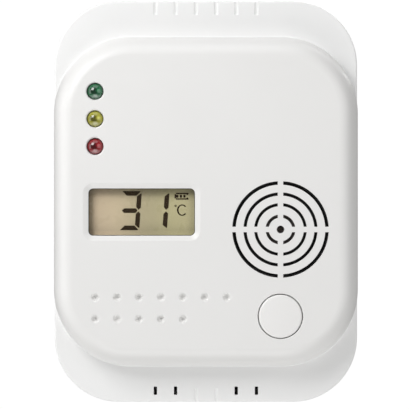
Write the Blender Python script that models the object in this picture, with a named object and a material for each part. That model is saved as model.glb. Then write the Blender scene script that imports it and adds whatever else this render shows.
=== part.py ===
"""A wall-hung carbon monoxide detector with a temperature display, as separate pieces.

Metres, +Z up. The wall is the plane y = 0 and the detector's front faces -Y. The origin is on
the back face of the wall plate, at the middle of the detector seen from the front. A "depth"
below is a distance in front of the wall, so a point at depth d has y = -d.
"""

import math

import bmesh
import bpy
from mathutils import Vector

MM = 0.001
GAP = 0.3 * MM

# Front cover: a base tier with a raised pod.
BASE_HALF = (50.55 * MM, 67.0 * MM)
BASE_CORNER = 21.5 * MM
BASE_EDGE = 0.6 * MM
POD_HALF = (50.7 * MM, 54.85 * MM)
POD_CORNER = 25.7 * MM
COVER_REAR = 1.5 * MM
SHELF_DEPTH = 24.0 * MM
FACE_DEPTH = 36.0 * MM
WALL = 2.0 * MM
POD_ROUND_RUN = 6.6 * MM
POD_ROUND_DROP = 10.5 * MM

# Openings in the face.
WINDOW_CENTRE = (-21.25 * MM, -3.5 * MM)
WINDOW_HALF = (17.6 * MM, 7.8 * MM)
WINDOW_CORNER = 1.6 * MM
WINDOW_CHAMFER_RUN = 1.7 * MM
WINDOW_CHAMFER_DROP = 0.6 * MM
LAMP_X = -36.65 * MM
LAMP_HEIGHTS = {"green": 36.4 * MM, "yellow": 27.3 * MM, "red": 18.2 * MM}
LAMP_HOLE_RADIUS = 2.8 * MM
GRILLE_CENTRE = (24.65 * MM, -9.25 * MM)
GRILLE_RINGS = ((15.95, 14.8), (12.25, 11.2), (8.7, 7.7), (4.95, 3.9))
GRILLE_RIB_HALF = 0.9 * MM
GRILLE_HOLE_RADIUS = 1.25 * MM
BUTTON_CENTRE = (24.6 * MM, -37.95 * MM)
BUTTON_HOLE_RADIUS = 7.45 * MM
BUTTON_COLLAR = (1.2 * MM, 2.2 * MM)
BUTTON_COLLAR_REAR = FACE_DEPTH - 6.5 * MM
DIMPLE_START_X = -36.45 * MM
DIMPLE_PITCH = 7.235 * MM
DIMPLE_ROWS = ((7, -31.8 * MM), (5, -39.0 * MM))
DIMPLE_RADIUS = 1.5 * MM
DIMPLE_DEPTH = 0.8 * MM

# Grooves and slots along the top and bottom edges.
GROOVE_PITCH = 6.76 * MM
GROOVE_COUNT = 6
GROOVE_HALF_WIDTH = 0.65 * MM
GROOVE_LENGTH = 4.6 * MM
GROOVE_CUT = 0.5 * MM
GROOVE_REAR = 9.0 * MM
VENT_COLUMNS = (0, 1, 4, 5)
VENT_HALF_WIDTH = 0.55 * MM
VENT_FROM_EDGE = (2.2 * MM, 4.9 * MM)

# Rear housing and battery bay.
HOUSING_HALF = (48.15 * MM, 64.6 * MM)
HOUSING_CORNER = 19.1 * MM
HOUSING_REAR = 3.0 * MM
HOUSING_WALL = 1.6 * MM
HOUSING_RIM_DEPTH = 14.0 * MM
BAY_HALF_X = 28.6 * MM
BAY_Z = (14.0 * MM, 45.0 * MM)
BAY_FLOOR = 20.2 * MM
BAY_WALL = 1.4 * MM
BAY_BLOCK_HALF_X = BAY_HALF_X + 2.4 * MM
REAR_VENT_HALF = (0.6 * MM, 5.0 * MM)
REAR_VENT_START = (-36.5 * MM, -30.0 * MM)
REAR_VENT_PITCH = 2.6 * MM
REAR_VENT_COUNT = 5
NAIL_NOTCH_HALF_X = 6.0 * MM
NAIL_NOTCH_CUT = 1.0 * MM
LEDGE_WIDTH = 2.0 * MM
LEDGE_HEIGHT = 1.5 * MM

# Battery door, hinged along its top edge.
HINGE_DEPTH = 4.5 * MM
HINGE_Z = 48.6 * MM
HINGE_RADIUS = 1.5 * MM
HINGE_PIN_RADIUS = 0.8 * MM
HINGE_PIN_LENGTH = 1.1 * MM
HINGE_SOCKET_RADIUS = 1.2 * MM
HINGE_SOCKET_LENGTH = 1.2 * MM
DOOR_HALF_X = 28.2 * MM
DOOR_BOTTOM = 14.4 * MM
DOOR_THICK = 1.6 * MM
DOOR_TONGUE_HALF_X = 4.0 * MM
DOOR_TONGUE_HEIGHTS = (0.2 * MM, 1.2 * MM)
DOOR_TONGUE_REACH = 3.4 * MM
DOOR_RIB_COUNT = 5
DOOR_RIB_START = 2.0 * MM
DOOR_RIB_PITCH = 1.6 * MM
DOOR_RIB_WIDTH = 0.7 * MM
DOOR_RIB_HALF_X = 7.0 * MM
DOOR_RIB_CUT = 0.5 * MM

# Cells and their contacts.
CELL_RADIUS = 7.1 * MM
CELL_BODY = 49.2 * MM
CELL_NUB = 1.3 * MM
CELL_NUB_RADIUS = 2.75 * MM
CELL_DEPTH = 12.5 * MM
CELL_HEIGHTS = {"upper": 37.3 * MM, "lower": 22.0 * MM}
CONTACT_X = 27.9 * MM
CONTACT_THICK = 0.4 * MM
CONTACT_TAB_HALF = 1.6 * MM
TAB_SLOT_HALF = 2.2 * MM
CELL_END_X = 27.6 * MM
SPRING_WIRE_RADIUS = 0.35 * MM
SPRING_TURNS = 3.5

# Wall plate and its hooks.
PLATE_HALF = (28.0 * MM, 28.0 * MM)
PLATE_CENTRE = (0.0, -22.0 * MM)
PLATE_CORNER = 5.0 * MM
PLATE_THICK = 2.2 * MM
HOOK_X = 18.0 * MM
HOOK_HALF_WIDTH = 3.0 * MM
HOOK_FEET = (-14.0 * MM, -42.0 * MM)
HOOK_STEM = 2.0 * MM
HOOK_HEIGHT = 6.5 * MM
HOOK_LIP = (4.9 * MM, 6.4 * MM)
LIFT = 6.0 * MM
PLATE_SLOT_HALF = (4.5 * MM, 2.0 * MM)
PLATE_SLOT_HEIGHTS = (-6.0 * MM, -36.0 * MM)

# Lamps, on spacers that bring their domes to the face.
LAMP_RADIUS = 2.5 * MM
LAMP_FLANGE_RADIUS = 2.9 * MM
LAMP_FLANGE_THICK = 1.0 * MM
LAMP_FLANGE_REAR = FACE_DEPTH - 7.8 * MM
LAMP_DOME_START = FACE_DEPTH - 1.7 * MM

# Display, behind its opening.
SHEET_HALF = (19.3 * MM, 9.3 * MM)
SHEET_THICK = 0.8 * MM
DISPLAY_FRAME_HALF = (20.9 * MM, 12.6 * MM)
GLASS_HALF = (19.5 * MM, 11.2 * MM)
GLASS_THICK = 2.6 * MM
STRIP_HALF = (17.5 * MM, 1.1 * MM)
STRIP_OFFSET = 9.4 * MM

# Siren, behind the grille.
SIREN_RADIUS = 17.0 * MM
SIREN_BORE = 15.5 * MM
SIREN_STEP_RADIUS = 13.0 * MM
PIEZO_RADIUS = 14.6 * MM
PIEZO_CRYSTAL_RADIUS = 9.5 * MM
RESONATOR_HOLE = 4.0 * MM
TUNING_CAP_RADIUS = 6.6 * MM
TUNING_CAP_HOLE = 0.55 * MM

# Test button and its switch.
CAP_RADIUS = BUTTON_HOLE_RADIUS - GAP
CAP_FLANGE = 1.1 * MM
CAP_FLANGE_THICK = 1.0 * MM
CAP_STEM_RADIUS = 2.5 * MM
SWITCH_HALF = 6.0 * MM
SWITCH_HEIGHT = 3.5 * MM
SWITCH_FLOOR = 0.4 * MM
PLUNGER_RADIUS = 1.7 * MM
PLUNGER_HEIGHTS = (1.6 * MM, 5.0 * MM)

# Circuit board.
BOARD_HALF = (44.0 * MM, 48.0 * MM)
BOARD_CORNER = 10.0 * MM
BOARD_REAR = 23.0 * MM
BOARD_FRONT = 24.6 * MM
BOARD_TOP = BOARD_FRONT + GAP
BOARD_SCREW = (37.5 * MM, 43.0 * MM)
BOARD_SCREW_HOLE = 1.5 * MM
BOARD_BOSS_RADIUS = 2.75 * MM

# Housing screws.
CASE_SCREW = (38.0 * MM, 55.0 * MM)
CASE_BOSS_RADIUS = 3.2 * MM
CASE_BOSS_REAR = 6.9 * MM
CASE_PAD_RADIUS = 4.2 * MM
CASE_PAD_FRONT = 6.6 * MM
CASE_HEAD_POCKET = (3.1 * MM, 2.0 * MM)
CASE_SHANK_HOLE = 1.65 * MM

# Gas sensor, on the rear of the board.
SENSOR_CENTRE = (-20.0 * MM, -35.0 * MM)
SENSOR_RADIUS = 9.5 * MM
SENSOR_FOOT_RADIUS = 10.0 * MM
SENSOR_FOOT_THICK = 0.8 * MM
SENSOR_LENGTH = 13.0 * MM
SENSOR_EDGE = 0.6 * MM
FILTER_CAP_RADIUS = 6.0 * MM
FILTER_CAP_THICK = 1.4 * MM
FILTER_CAP_HOLE = (1.2 * MM, 0.6 * MM)

CORNER_STEPS = 7
ROUND_STEPS = 28
SMALL_ROUND_STEPS = 16

FINISHES = {
    "white_shell": ((0.82, 0.82, 0.81), 0.38, 0.0),
    "white_button": ((0.84, 0.84, 0.83), 0.34, 0.0),
    "grey_board_frame": ((0.55, 0.56, 0.56), 0.5, 0.0),
    "clear_sheet": ((0.9, 0.92, 0.88), 0.08, 0.0),
    "display_glass": ((0.42, 0.41, 0.33), 0.22, 0.0),
    "green_lens": ((0.01, 0.2, 0.08), 0.12, 0.0),
    "yellow_lens": ((0.42, 0.36, 0.04), 0.12, 0.0),
    "red_lens": ((0.36, 0.01, 0.015), 0.12, 0.0),
    "black_plastic": ((0.012, 0.012, 0.013), 0.45, 0.0),
    "brown_plastic": ((0.09, 0.075, 0.065), 0.5, 0.0),
    "circuit_board": ((0.02, 0.17, 0.06), 0.4, 0.0),
    "elastomer": ((0.3, 0.3, 0.32), 0.8, 0.0),
    "brass": ((0.75, 0.55, 0.25), 0.3, 1.0),
    "ceramic": ((0.75, 0.73, 0.68), 0.45, 0.0),
    "steel": ((0.62, 0.62, 0.6), 0.32, 1.0),
    "cell_sleeve": ((0.05, 0.05, 0.055), 0.35, 0.2),
}


# Shapes, built in a bmesh. Each is one closed body.


def facing(u, v, depth):
    """A point of a shape that looks at the viewer in front: u right, v up."""
    return Vector((u, -depth, v))


def sideways(u, v, x):
    """A point of a shape turned about a line along X: u in depth, v up."""
    return Vector((x, -u, v))


def rounded_rectangle(half, corner, centre=(0.0, 0.0), steps=CORNER_STEPS):
    """The outline of a rectangle with round corners, as (u, v) points."""
    points = []
    for quarter, (side_u, side_v) in enumerate(((1, 1), (-1, 1), (-1, -1), (1, -1))):
        arc_u = centre[0] + side_u * (half[0] - corner)
        arc_v = centre[1] + side_v * (half[1] - corner)
        for step in range(steps + 1):
            angle = math.radians(90) * (quarter + step / steps)
            points.append((arc_u + corner * math.cos(angle), arc_v + corner * math.sin(angle)))
    return points


def circle(radius, centre=(0.0, 0.0), steps=ROUND_STEPS):
    turns = (2 * math.pi * step / steps for step in range(steps))
    return [(centre[0] + radius * math.cos(a), centre[1] + radius * math.sin(a)) for a in turns]


def add_loft(mesh, rings, place=facing):
    """A closed body through rings, each an outline and its distance along the body."""
    loops = [[mesh.verts.new(place(u, v, along)) for u, v in outline] for outline, along in rings]
    count = len(loops[0])
    for near, far in zip(loops, loops[1:]):
        for here in range(count):
            after = (here + 1) % count
            mesh.faces.new((near[here], near[after], far[after], far[here]))
    mesh.faces.new(loops[0])
    mesh.faces.new(loops[-1])


def add_prism(mesh, outline, start, end, place=facing):
    add_loft(mesh, [(outline, start), (outline, end)], place)


def add_box(mesh, x_range, z_range, depth_range):
    (left, right), (low, high) = x_range, z_range
    outline = [(left, low), (right, low), (right, high), (left, high)]
    add_prism(mesh, outline, *depth_range)


def add_turned(mesh, profile, centre=(0.0, 0.0), steps=ROUND_STEPS, place=facing):
    """A turned body from a profile of (radius, distance along the axis) points."""
    add_loft(mesh, [(circle(radius, centre, steps), along) for radius, along in profile], place)


def both_ways(value):
    return (-value, value)


# Objects, materials and cuts.


def make_material(node, finish):
    colour, roughness, metallic = FINISHES[finish]
    material = bpy.data.materials.new(node)
    material.use_nodes = True
    shader = material.node_tree.nodes["Principled BSDF"]
    shader.inputs["Base Color"].default_value = (*colour, 1.0)
    shader.inputs["Roughness"].default_value = roughness
    shader.inputs["Metallic"].default_value = metallic
    material.diffuse_color = (*colour, 1.0)
    return material


def make_group(name, origin):
    """An empty on a moving body's joint axis, which its pieces are parented to."""
    group = bpy.data.objects.new(name, None)
    group.location = origin
    bpy.context.scene.collection.objects.link(group)
    return group


def link_mesh(name, mesh, origin):
    bmesh.ops.translate(mesh, verts=mesh.verts, vec=-origin)
    bmesh.ops.recalc_face_normals(mesh, faces=mesh.faces)
    data = bpy.data.meshes.new(name)
    mesh.to_mesh(data)
    mesh.free()
    item = bpy.data.objects.new(name, data)
    bpy.context.scene.collection.objects.link(item)
    return item


def make_piece(name, mesh, finish, group):
    """A piece whose origin is its group's, on the joint axis where the group moves."""
    item = link_mesh(name, mesh, group.location)
    item.parent = group
    item.data.materials.append(make_material(name, finish))
    item.data.shade_smooth()
    item.data.set_sharp_from_angle(angle=math.radians(35))
    return item


def combine(item, mesh, operation):
    """Add the shape to the piece, or cut it away, with a Boolean modifier."""
    number = len(item.modifiers) + 1
    tool = link_mesh(f"{item.name}_{operation.lower()}_{number}", mesh, item.parent.location)
    tool.parent = item
    tool.hide_render = True
    tool.display_type = "WIRE"
    modifier = item.modifiers.new(tool.name, "BOOLEAN")
    modifier.object = tool
    modifier.operation = operation
    modifier.solver = "EXACT"


def fuse(item, mesh):
    combine(item, mesh, "UNION")


def cut(item, mesh):
    combine(item, mesh, "DIFFERENCE")


# The front cover.


def base_rings(inset, rear, front, edge):
    half = (BASE_HALF[0] - inset, BASE_HALF[1] - inset)
    corner = BASE_CORNER - inset
    rings = [(rounded_rectangle(half, corner), rear)]
    edge_steps = 3
    for step in range(edge_steps + 1):
        angle = math.radians(90) * step / edge_steps
        run = edge * (1 - math.cos(angle))
        outline = rounded_rectangle((half[0] - run, half[1] - run), corner - run)
        rings.append((outline, front - edge + edge * math.sin(angle)))
    return rings


def pod_rings(inset, rear, front):
    """Straight sides that round over into the face along a quarter of an ellipse."""
    rings = [(rounded_rectangle((POD_HALF[0] - inset, POD_HALF[1] - inset), POD_CORNER - inset), rear)]
    shoulder = FACE_DEPTH - POD_ROUND_DROP
    round_steps = 6
    for step in range(round_steps + 1):
        angle = math.radians(90) * step / round_steps
        offset = POD_ROUND_RUN - (POD_ROUND_RUN - inset) * math.cos(angle)
        half = (POD_HALF[0] - offset, POD_HALF[1] - offset)
        outline = rounded_rectangle(half, POD_CORNER - offset)
        rings.append((outline, shoulder + (front - shoulder) * math.sin(angle)))
    return rings


def add_ring_slots(mesh, rear, front):
    """Four slots a ring, between upright and level ribs with parallel edges."""
    arc_steps = 6
    for outer, inner in GRILLE_RINGS:
        for quarter in range(4):
            turn = math.radians(90) * quarter
            outline = []
            for radius, backwards in ((outer * MM, False), (inner * MM, True)):
                margin = math.asin(GRILLE_RIB_HALF / radius)
                span = math.radians(90) - 2 * margin
                for step in range(arc_steps + 1):
                    share = 1 - step / arc_steps if backwards else step / arc_steps
                    angle = turn + margin + span * share
                    outline.append(
                        (
                            GRILLE_CENTRE[0] + radius * math.cos(angle),
                            GRILLE_CENTRE[1] + radius * math.sin(angle),
                        )
                    )
            add_prism(mesh, outline, rear, front)


def add_face_openings(mesh):
    rear = FACE_DEPTH - 2 * WALL
    front = FACE_DEPTH + WALL
    reach = 0.5
    window = [
        (rounded_rectangle(WINDOW_HALF, WINDOW_CORNER, WINDOW_CENTRE, 3), rear),
        (rounded_rectangle(WINDOW_HALF, WINDOW_CORNER, WINDOW_CENTRE, 3), FACE_DEPTH - WINDOW_CHAMFER_DROP),
    ]
    run = WINDOW_CHAMFER_RUN * (1 + reach)
    wide = (WINDOW_HALF[0] + run, WINDOW_HALF[1] + run)
    window.append(
        (
            rounded_rectangle(wide, WINDOW_CORNER + run, WINDOW_CENTRE, 3),
            FACE_DEPTH + WINDOW_CHAMFER_DROP * reach,
        )
    )
    add_loft(mesh, window)
    for height in LAMP_HEIGHTS.values():
        add_prism(mesh, circle(LAMP_HOLE_RADIUS, (LAMP_X, height), SMALL_ROUND_STEPS), rear, front)
    add_ring_slots(mesh, rear, front)
    add_prism(mesh, circle(GRILLE_HOLE_RADIUS, GRILLE_CENTRE, SMALL_ROUND_STEPS), rear, front)
    add_prism(mesh, circle(BUTTON_HOLE_RADIUS, BUTTON_CENTRE), rear, front)


def add_dimples(mesh):
    """Blind hollows, each a slice of a sphere."""
    sphere = (DIMPLE_RADIUS**2 + DIMPLE_DEPTH**2) / (2 * DIMPLE_DEPTH)
    centre_depth = FACE_DEPTH - DIMPLE_DEPTH + sphere
    rim = math.asin(DIMPLE_RADIUS / sphere)
    shares = (0.12, 0.55, 1.0, 1.25)
    profile = [(sphere * math.sin(rim * s), centre_depth - sphere * math.cos(rim * s)) for s in shares]
    for count, height in DIMPLE_ROWS:
        for column in range(count):
            add_turned(mesh, profile, (DIMPLE_START_X + DIMPLE_PITCH * column, height), 12)


def groove_positions():
    middle = (GROOVE_COUNT - 1) / 2
    return [GROOVE_PITCH * (column - middle) for column in range(GROOVE_COUNT)]


def add_grooves(mesh):
    """Shallow grooves that run off the shelf, at the top and between the bottom slots."""
    edge = BASE_HALF[1]
    beyond = 3 * MM
    for column, x in enumerate(groove_positions()):
        sides = (x - GROOVE_HALF_WIDTH, x + GROOVE_HALF_WIDTH)
        for side in (1,) if column in VENT_COLUMNS else (1, -1):
            shelf = sorted((side * (edge - GROOVE_LENGTH), side * (edge + beyond)))
            add_box(mesh, sides, shelf, (SHELF_DEPTH - GROOVE_CUT, SHELF_DEPTH + beyond))


def add_edge_notches(mesh):
    edge = BASE_HALF[1]
    beyond = 3 * MM
    for x in groove_positions():
        sides = (x - GROOVE_HALF_WIDTH, x + GROOVE_HALF_WIDTH)
        for side in (1, -1):
            drop = sorted((side * (edge - GROOVE_CUT), side * (edge + beyond)))
            add_box(mesh, sides, drop, (GROOVE_REAR, SHELF_DEPTH))


def add_bottom_vents(mesh):
    near, far = (VENT_FROM_EDGE[0] - BASE_HALF[1], VENT_FROM_EDGE[1] - BASE_HALF[1])
    positions = groove_positions()
    for column in VENT_COLUMNS:
        x = positions[column]
        sides = (x - VENT_HALF_WIDTH, x + VENT_HALF_WIDTH)
        add_box(mesh, sides, (near, far), (SHELF_DEPTH - 2 * WALL, SHELF_DEPTH + WALL))


def corners(offset):
    return [(side_x * offset[0], side_z * offset[1]) for side_x in (1, -1) for side_z in (1, -1)]


def add_cover_bosses(mesh):
    """The screw bosses behind the face and the shelf, and the button's guide collar."""
    sunk = 0.4 * MM
    under_face = FACE_DEPTH - WALL + sunk
    for place in corners(BOARD_SCREW):
        add_prism(mesh, circle(BOARD_BOSS_RADIUS, place, 12), BOARD_TOP, under_face)
    for place in corners(CASE_SCREW):
        add_prism(mesh, circle(CASE_BOSS_RADIUS, place, 12), CASE_BOSS_REAR, SHELF_DEPTH - WALL + sunk)
    inner, outer = (circle(BUTTON_HOLE_RADIUS + grow, BUTTON_CENTRE) for grow in BUTTON_COLLAR)
    rear = BUTTON_COLLAR_REAR
    add_loft(mesh, [(outer, under_face), (outer, rear), (inner, rear), (inner, under_face - sunk / 2)])


def add_cover_screw_holes(mesh):
    board_depths = (BOARD_FRONT, BOARD_TOP + 5 * MM)
    case_depths = (CASE_BOSS_REAR - WALL, CASE_BOSS_REAR + 8 * MM)
    for offset, depths in ((BOARD_SCREW, board_depths), (CASE_SCREW, case_depths)):
        for place in corners(offset):
            add_prism(mesh, circle(BOARD_SCREW_HOLE, place, 10), *depths)


def make_front_cover(group):
    mesh = bmesh.new()
    add_loft(mesh, base_rings(0.0, COVER_REAR, SHELF_DEPTH, BASE_EDGE))
    cover = make_piece("front_cover", mesh, "white_shell", group)

    mesh = bmesh.new()
    add_loft(mesh, pod_rings(0.0, COVER_REAR, FACE_DEPTH))
    fuse(cover, mesh)

    mesh = bmesh.new()
    add_loft(mesh, base_rings(WALL, -WALL, SHELF_DEPTH - WALL, BASE_EDGE))
    cut(cover, mesh)

    mesh = bmesh.new()
    add_loft(mesh, pod_rings(WALL, SHELF_DEPTH - 2 * WALL, FACE_DEPTH - WALL))
    cut(cover, mesh)

    mesh = bmesh.new()
    add_cover_bosses(mesh)
    fuse(cover, mesh)

    mesh = bmesh.new()
    add_face_openings(mesh)
    add_dimples(mesh)
    add_grooves(mesh)
    add_cover_screw_holes(mesh)
    cut(cover, mesh)

    mesh = bmesh.new()
    add_edge_notches(mesh)
    add_bottom_vents(mesh)
    cut(cover, mesh)


# The rear housing and the battery door.


def add_hook_slots(mesh):
    rear, front = HOUSING_REAR - WALL, HOUSING_REAR + HOUSING_WALL + GAP
    for foot in HOOK_FEET:
        low = foot - LIFT - GAP
        high = foot + HOOK_STEM + GAP
        for side in (1, -1):
            sides = (side * HOOK_X - HOOK_HALF_WIDTH - 2 * GAP, side * HOOK_X + HOOK_HALF_WIDTH + 2 * GAP)
            add_box(mesh, sides, (low, high), (rear, front))


def add_rear_vents(mesh):
    """A row of air slots below the battery bay's side, in line with the sensor."""
    start_x, z = REAR_VENT_START
    for column in range(REAR_VENT_COUNT):
        centre = (start_x - column * REAR_VENT_PITCH, z)
        outline = rounded_rectangle(REAR_VENT_HALF, REAR_VENT_HALF[0], centre, 2)
        add_prism(mesh, outline, HOUSING_REAR - WALL, HOUSING_REAR + HOUSING_WALL + GAP)


def housing_tray_rings():
    inner_half = (HOUSING_HALF[0] - HOUSING_WALL, HOUSING_HALF[1] - HOUSING_WALL)
    outside = rounded_rectangle(HOUSING_HALF, HOUSING_CORNER)
    inside = rounded_rectangle(inner_half, HOUSING_CORNER - HOUSING_WALL)
    rim, floor = HOUSING_RIM_DEPTH, HOUSING_REAR + HOUSING_WALL
    return [(outside, HOUSING_REAR), (outside, rim), (inside, rim), (inside, floor)]


def add_bay_block(mesh, rear):
    """The solid that the battery bay is cut from, and the pads under the housing screws."""
    bay_x = both_ways(BAY_HALF_X + BAY_WALL)
    add_box(mesh, bay_x, (BAY_Z[0] - BAY_WALL, BAY_Z[1] + BAY_WALL), (rear, BAY_FLOOR + BAY_WALL))
    for place in corners(CASE_SCREW):
        add_prism(mesh, circle(CASE_PAD_RADIUS, place, 12), rear, CASE_PAD_FRONT)


def add_hinge_block(mesh, rear):
    top = HINGE_Z + HINGE_RADIUS + 2.1 * MM
    front = HINGE_DEPTH + HINGE_RADIUS + 2.2 * MM
    add_box(mesh, both_ways(BAY_BLOCK_HALF_X), (BAY_Z[1], top), (rear, front))


def add_housing_openings(mesh):
    """The bay, the hook slots, the vents, the screw pockets and the door's nail notch."""
    add_box(mesh, both_ways(BAY_HALF_X), BAY_Z, (-WALL, BAY_FLOOR))
    add_hook_slots(mesh)
    add_rear_vents(mesh)
    head_radius, head_depth = CASE_HEAD_POCKET
    pocket = [
        (head_radius, HOUSING_REAR - WALL),
        (head_radius, HOUSING_REAR + head_depth),
        (CASE_SHANK_HOLE, HOUSING_REAR + head_depth),
        (CASE_SHANK_HOLE, CASE_PAD_FRONT + WALL),
    ]
    for place in corners(CASE_SCREW):
        add_turned(mesh, pocket, place, 12)
    notch_z = (BAY_Z[0] - 3.0 * MM, BAY_Z[0] - BAY_WALL / 4)
    notch_depth = (HOUSING_REAR - WALL, HOUSING_REAR + NAIL_NOTCH_CUT)
    add_box(mesh, both_ways(NAIL_NOTCH_HALF_X), notch_z, notch_depth)


def add_hinge_pocket(mesh):
    """Room for the door's barrel to turn in."""
    pocket_z = (BAY_Z[1] - 0.5 * MM, HINGE_Z + HINGE_RADIUS + 0.7 * MM)
    pocket_depth = (HOUSING_REAR - WALL, HINGE_DEPTH + HINGE_RADIUS + 0.8 * MM)
    add_box(mesh, both_ways(BAY_HALF_X - GAP / 2), pocket_z, pocket_depth)


def add_sockets_and_tab_slots(mesh, sunk):
    """The sockets of the hinge pins, and slots for the contacts' tabs through the bay floor."""
    end = BAY_HALF_X + HINGE_SOCKET_LENGTH
    add_prism(mesh, circle(HINGE_SOCKET_RADIUS, (HINGE_DEPTH, HINGE_Z), 12), -end, end, sideways)
    tab_x = (CONTACT_X - 0.6 * MM, BAY_HALF_X - GAP / 3)
    for height in CELL_HEIGHTS.values():
        slot_z = (height - TAB_SLOT_HALF, height + TAB_SLOT_HALF)
        add_box(mesh, tab_x, slot_z, (BAY_FLOOR - sunk, BAY_FLOOR + BAY_WALL + sunk))


def add_door_ledges(mesh, sunk):
    """Two ledges at the foot of the bay that the closed door rests against."""
    door_front = HOUSING_REAR + DOOR_THICK
    for side in (1, -1):
        sides = sorted((side * (BAY_HALF_X - LEDGE_WIDTH), side * (BAY_HALF_X + sunk)))
        ledge_z = (BAY_Z[0] - sunk, BAY_Z[0] + LEDGE_HEIGHT)
        add_box(mesh, sides, ledge_z, (door_front + GAP, door_front + 1.5 * MM))


def make_rear_housing(group):
    sunk = 0.5 * MM
    inside = HOUSING_REAR + HOUSING_WALL - sunk
    mesh = bmesh.new()
    add_loft(mesh, housing_tray_rings())
    housing = make_piece("rear_housing", mesh, "white_shell", group)

    mesh = bmesh.new()
    add_bay_block(mesh, inside)
    fuse(housing, mesh)

    mesh = bmesh.new()
    add_hinge_block(mesh, inside)
    fuse(housing, mesh)

    mesh = bmesh.new()
    add_housing_openings(mesh)
    cut(housing, mesh)

    mesh = bmesh.new()
    add_hinge_pocket(mesh)
    cut(housing, mesh)

    mesh = bmesh.new()
    add_sockets_and_tab_slots(mesh, sunk)
    cut(housing, mesh)

    mesh = bmesh.new()
    add_door_ledges(mesh, sunk)
    fuse(housing, mesh)


def make_battery_door(group):
    """A panel on a round barrel with an end pin each side, and a latch tongue at its foot."""
    panel_depth = (HOUSING_REAR, HOUSING_REAR + DOOR_THICK)
    mesh = bmesh.new()
    barrel_half = DOOR_HALF_X - GAP
    profile = [
        (HINGE_PIN_RADIUS, -barrel_half - HINGE_PIN_LENGTH),
        (HINGE_PIN_RADIUS, -barrel_half),
        (HINGE_RADIUS, -barrel_half),
        (HINGE_RADIUS, barrel_half),
        (HINGE_PIN_RADIUS, barrel_half),
        (HINGE_PIN_RADIUS, barrel_half + HINGE_PIN_LENGTH),
    ]
    add_turned(mesh, profile, (HINGE_DEPTH, HINGE_Z), SMALL_ROUND_STEPS, sideways)
    door = make_piece("battery_door", mesh, "white_shell", group)

    mesh = bmesh.new()
    add_box(mesh, both_ways(DOOR_HALF_X), (DOOR_BOTTOM, HINGE_Z - 0.4 * MM), panel_depth)
    fuse(door, mesh)

    mesh = bmesh.new()
    tongue_z = [DOOR_BOTTOM + height for height in DOOR_TONGUE_HEIGHTS]
    tongue_depth = (panel_depth[1] - 0.4 * MM, panel_depth[1] + DOOR_TONGUE_REACH)
    add_box(mesh, both_ways(DOOR_TONGUE_HALF_X), tongue_z, tongue_depth)
    fuse(door, mesh)

    mesh = bmesh.new()
    rib_depth = (HOUSING_REAR - WALL, HOUSING_REAR + DOOR_RIB_CUT)
    for rib in range(DOOR_RIB_COUNT):
        low = DOOR_BOTTOM + DOOR_RIB_START + rib * DOOR_RIB_PITCH
        add_box(mesh, both_ways(DOOR_RIB_HALF_X), (low, low + DOOR_RIB_WIDTH), rib_depth)
    cut(door, mesh)


# The wall plate.


def make_wall_plate(group):
    mesh = bmesh.new()
    add_prism(mesh, rounded_rectangle(PLATE_HALF, PLATE_CORNER, PLATE_CENTRE, 4), 0.0, PLATE_THICK)
    plate = make_piece("wall_plate", mesh, "white_shell", group)

    sunk = 0.3 * MM
    mesh = bmesh.new()
    for foot in HOOK_FEET:
        for side in (1, -1):
            sides = (side * HOOK_X - HOOK_HALF_WIDTH, side * HOOK_X + HOOK_HALF_WIDTH)
            add_box(mesh, sides, (foot, foot + HOOK_STEM), (PLATE_THICK - sunk, HOOK_LIP[1]))
    fuse(plate, mesh)

    mesh = bmesh.new()
    for foot in HOOK_FEET:
        for side in (1, -1):
            sides = (side * HOOK_X - HOOK_HALF_WIDTH, side * HOOK_X + HOOK_HALF_WIDTH)
            add_box(mesh, sides, (foot, foot + HOOK_HEIGHT), HOOK_LIP)
    fuse(plate, mesh)

    mesh = bmesh.new()
    for turned, height in enumerate(PLATE_SLOT_HEIGHTS):
        half = PLATE_SLOT_HALF if turned else PLATE_SLOT_HALF[::-1]
        outline = rounded_rectangle(half, min(half) - GAP / 10, (0.0, height), 4)
        add_prism(mesh, outline, -WALL, PLATE_THICK + WALL)
    cut(plate, mesh)


# Pieces under the face: lamps, display, siren and test switch.


def make_lamp(colour, height, group):
    """A flanged lamp with a domed end, on its spacer."""
    centre = (LAMP_X, height)
    flange_front = LAMP_FLANGE_REAR + LAMP_FLANGE_THICK
    profile = [
        (LAMP_FLANGE_RADIUS, LAMP_FLANGE_REAR),
        (LAMP_FLANGE_RADIUS, flange_front),
        (LAMP_RADIUS, flange_front),
    ]
    for share in (0.0, 0.3, 0.6, 0.8, 0.93):
        profile.append((LAMP_RADIUS * math.sqrt(1 - share**2), LAMP_DOME_START + LAMP_RADIUS * share))
    mesh = bmesh.new()
    add_turned(mesh, profile, centre, SMALL_ROUND_STEPS)
    make_piece(f"lamp_{colour}", mesh, f"{colour}_lens", group)

    mesh = bmesh.new()
    add_prism(mesh, circle(LAMP_FLANGE_RADIUS, centre, 12), BOARD_TOP, LAMP_FLANGE_REAR - GAP)
    make_piece(f"lamp_spacer_{colour}", mesh, "black_plastic", group)


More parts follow.
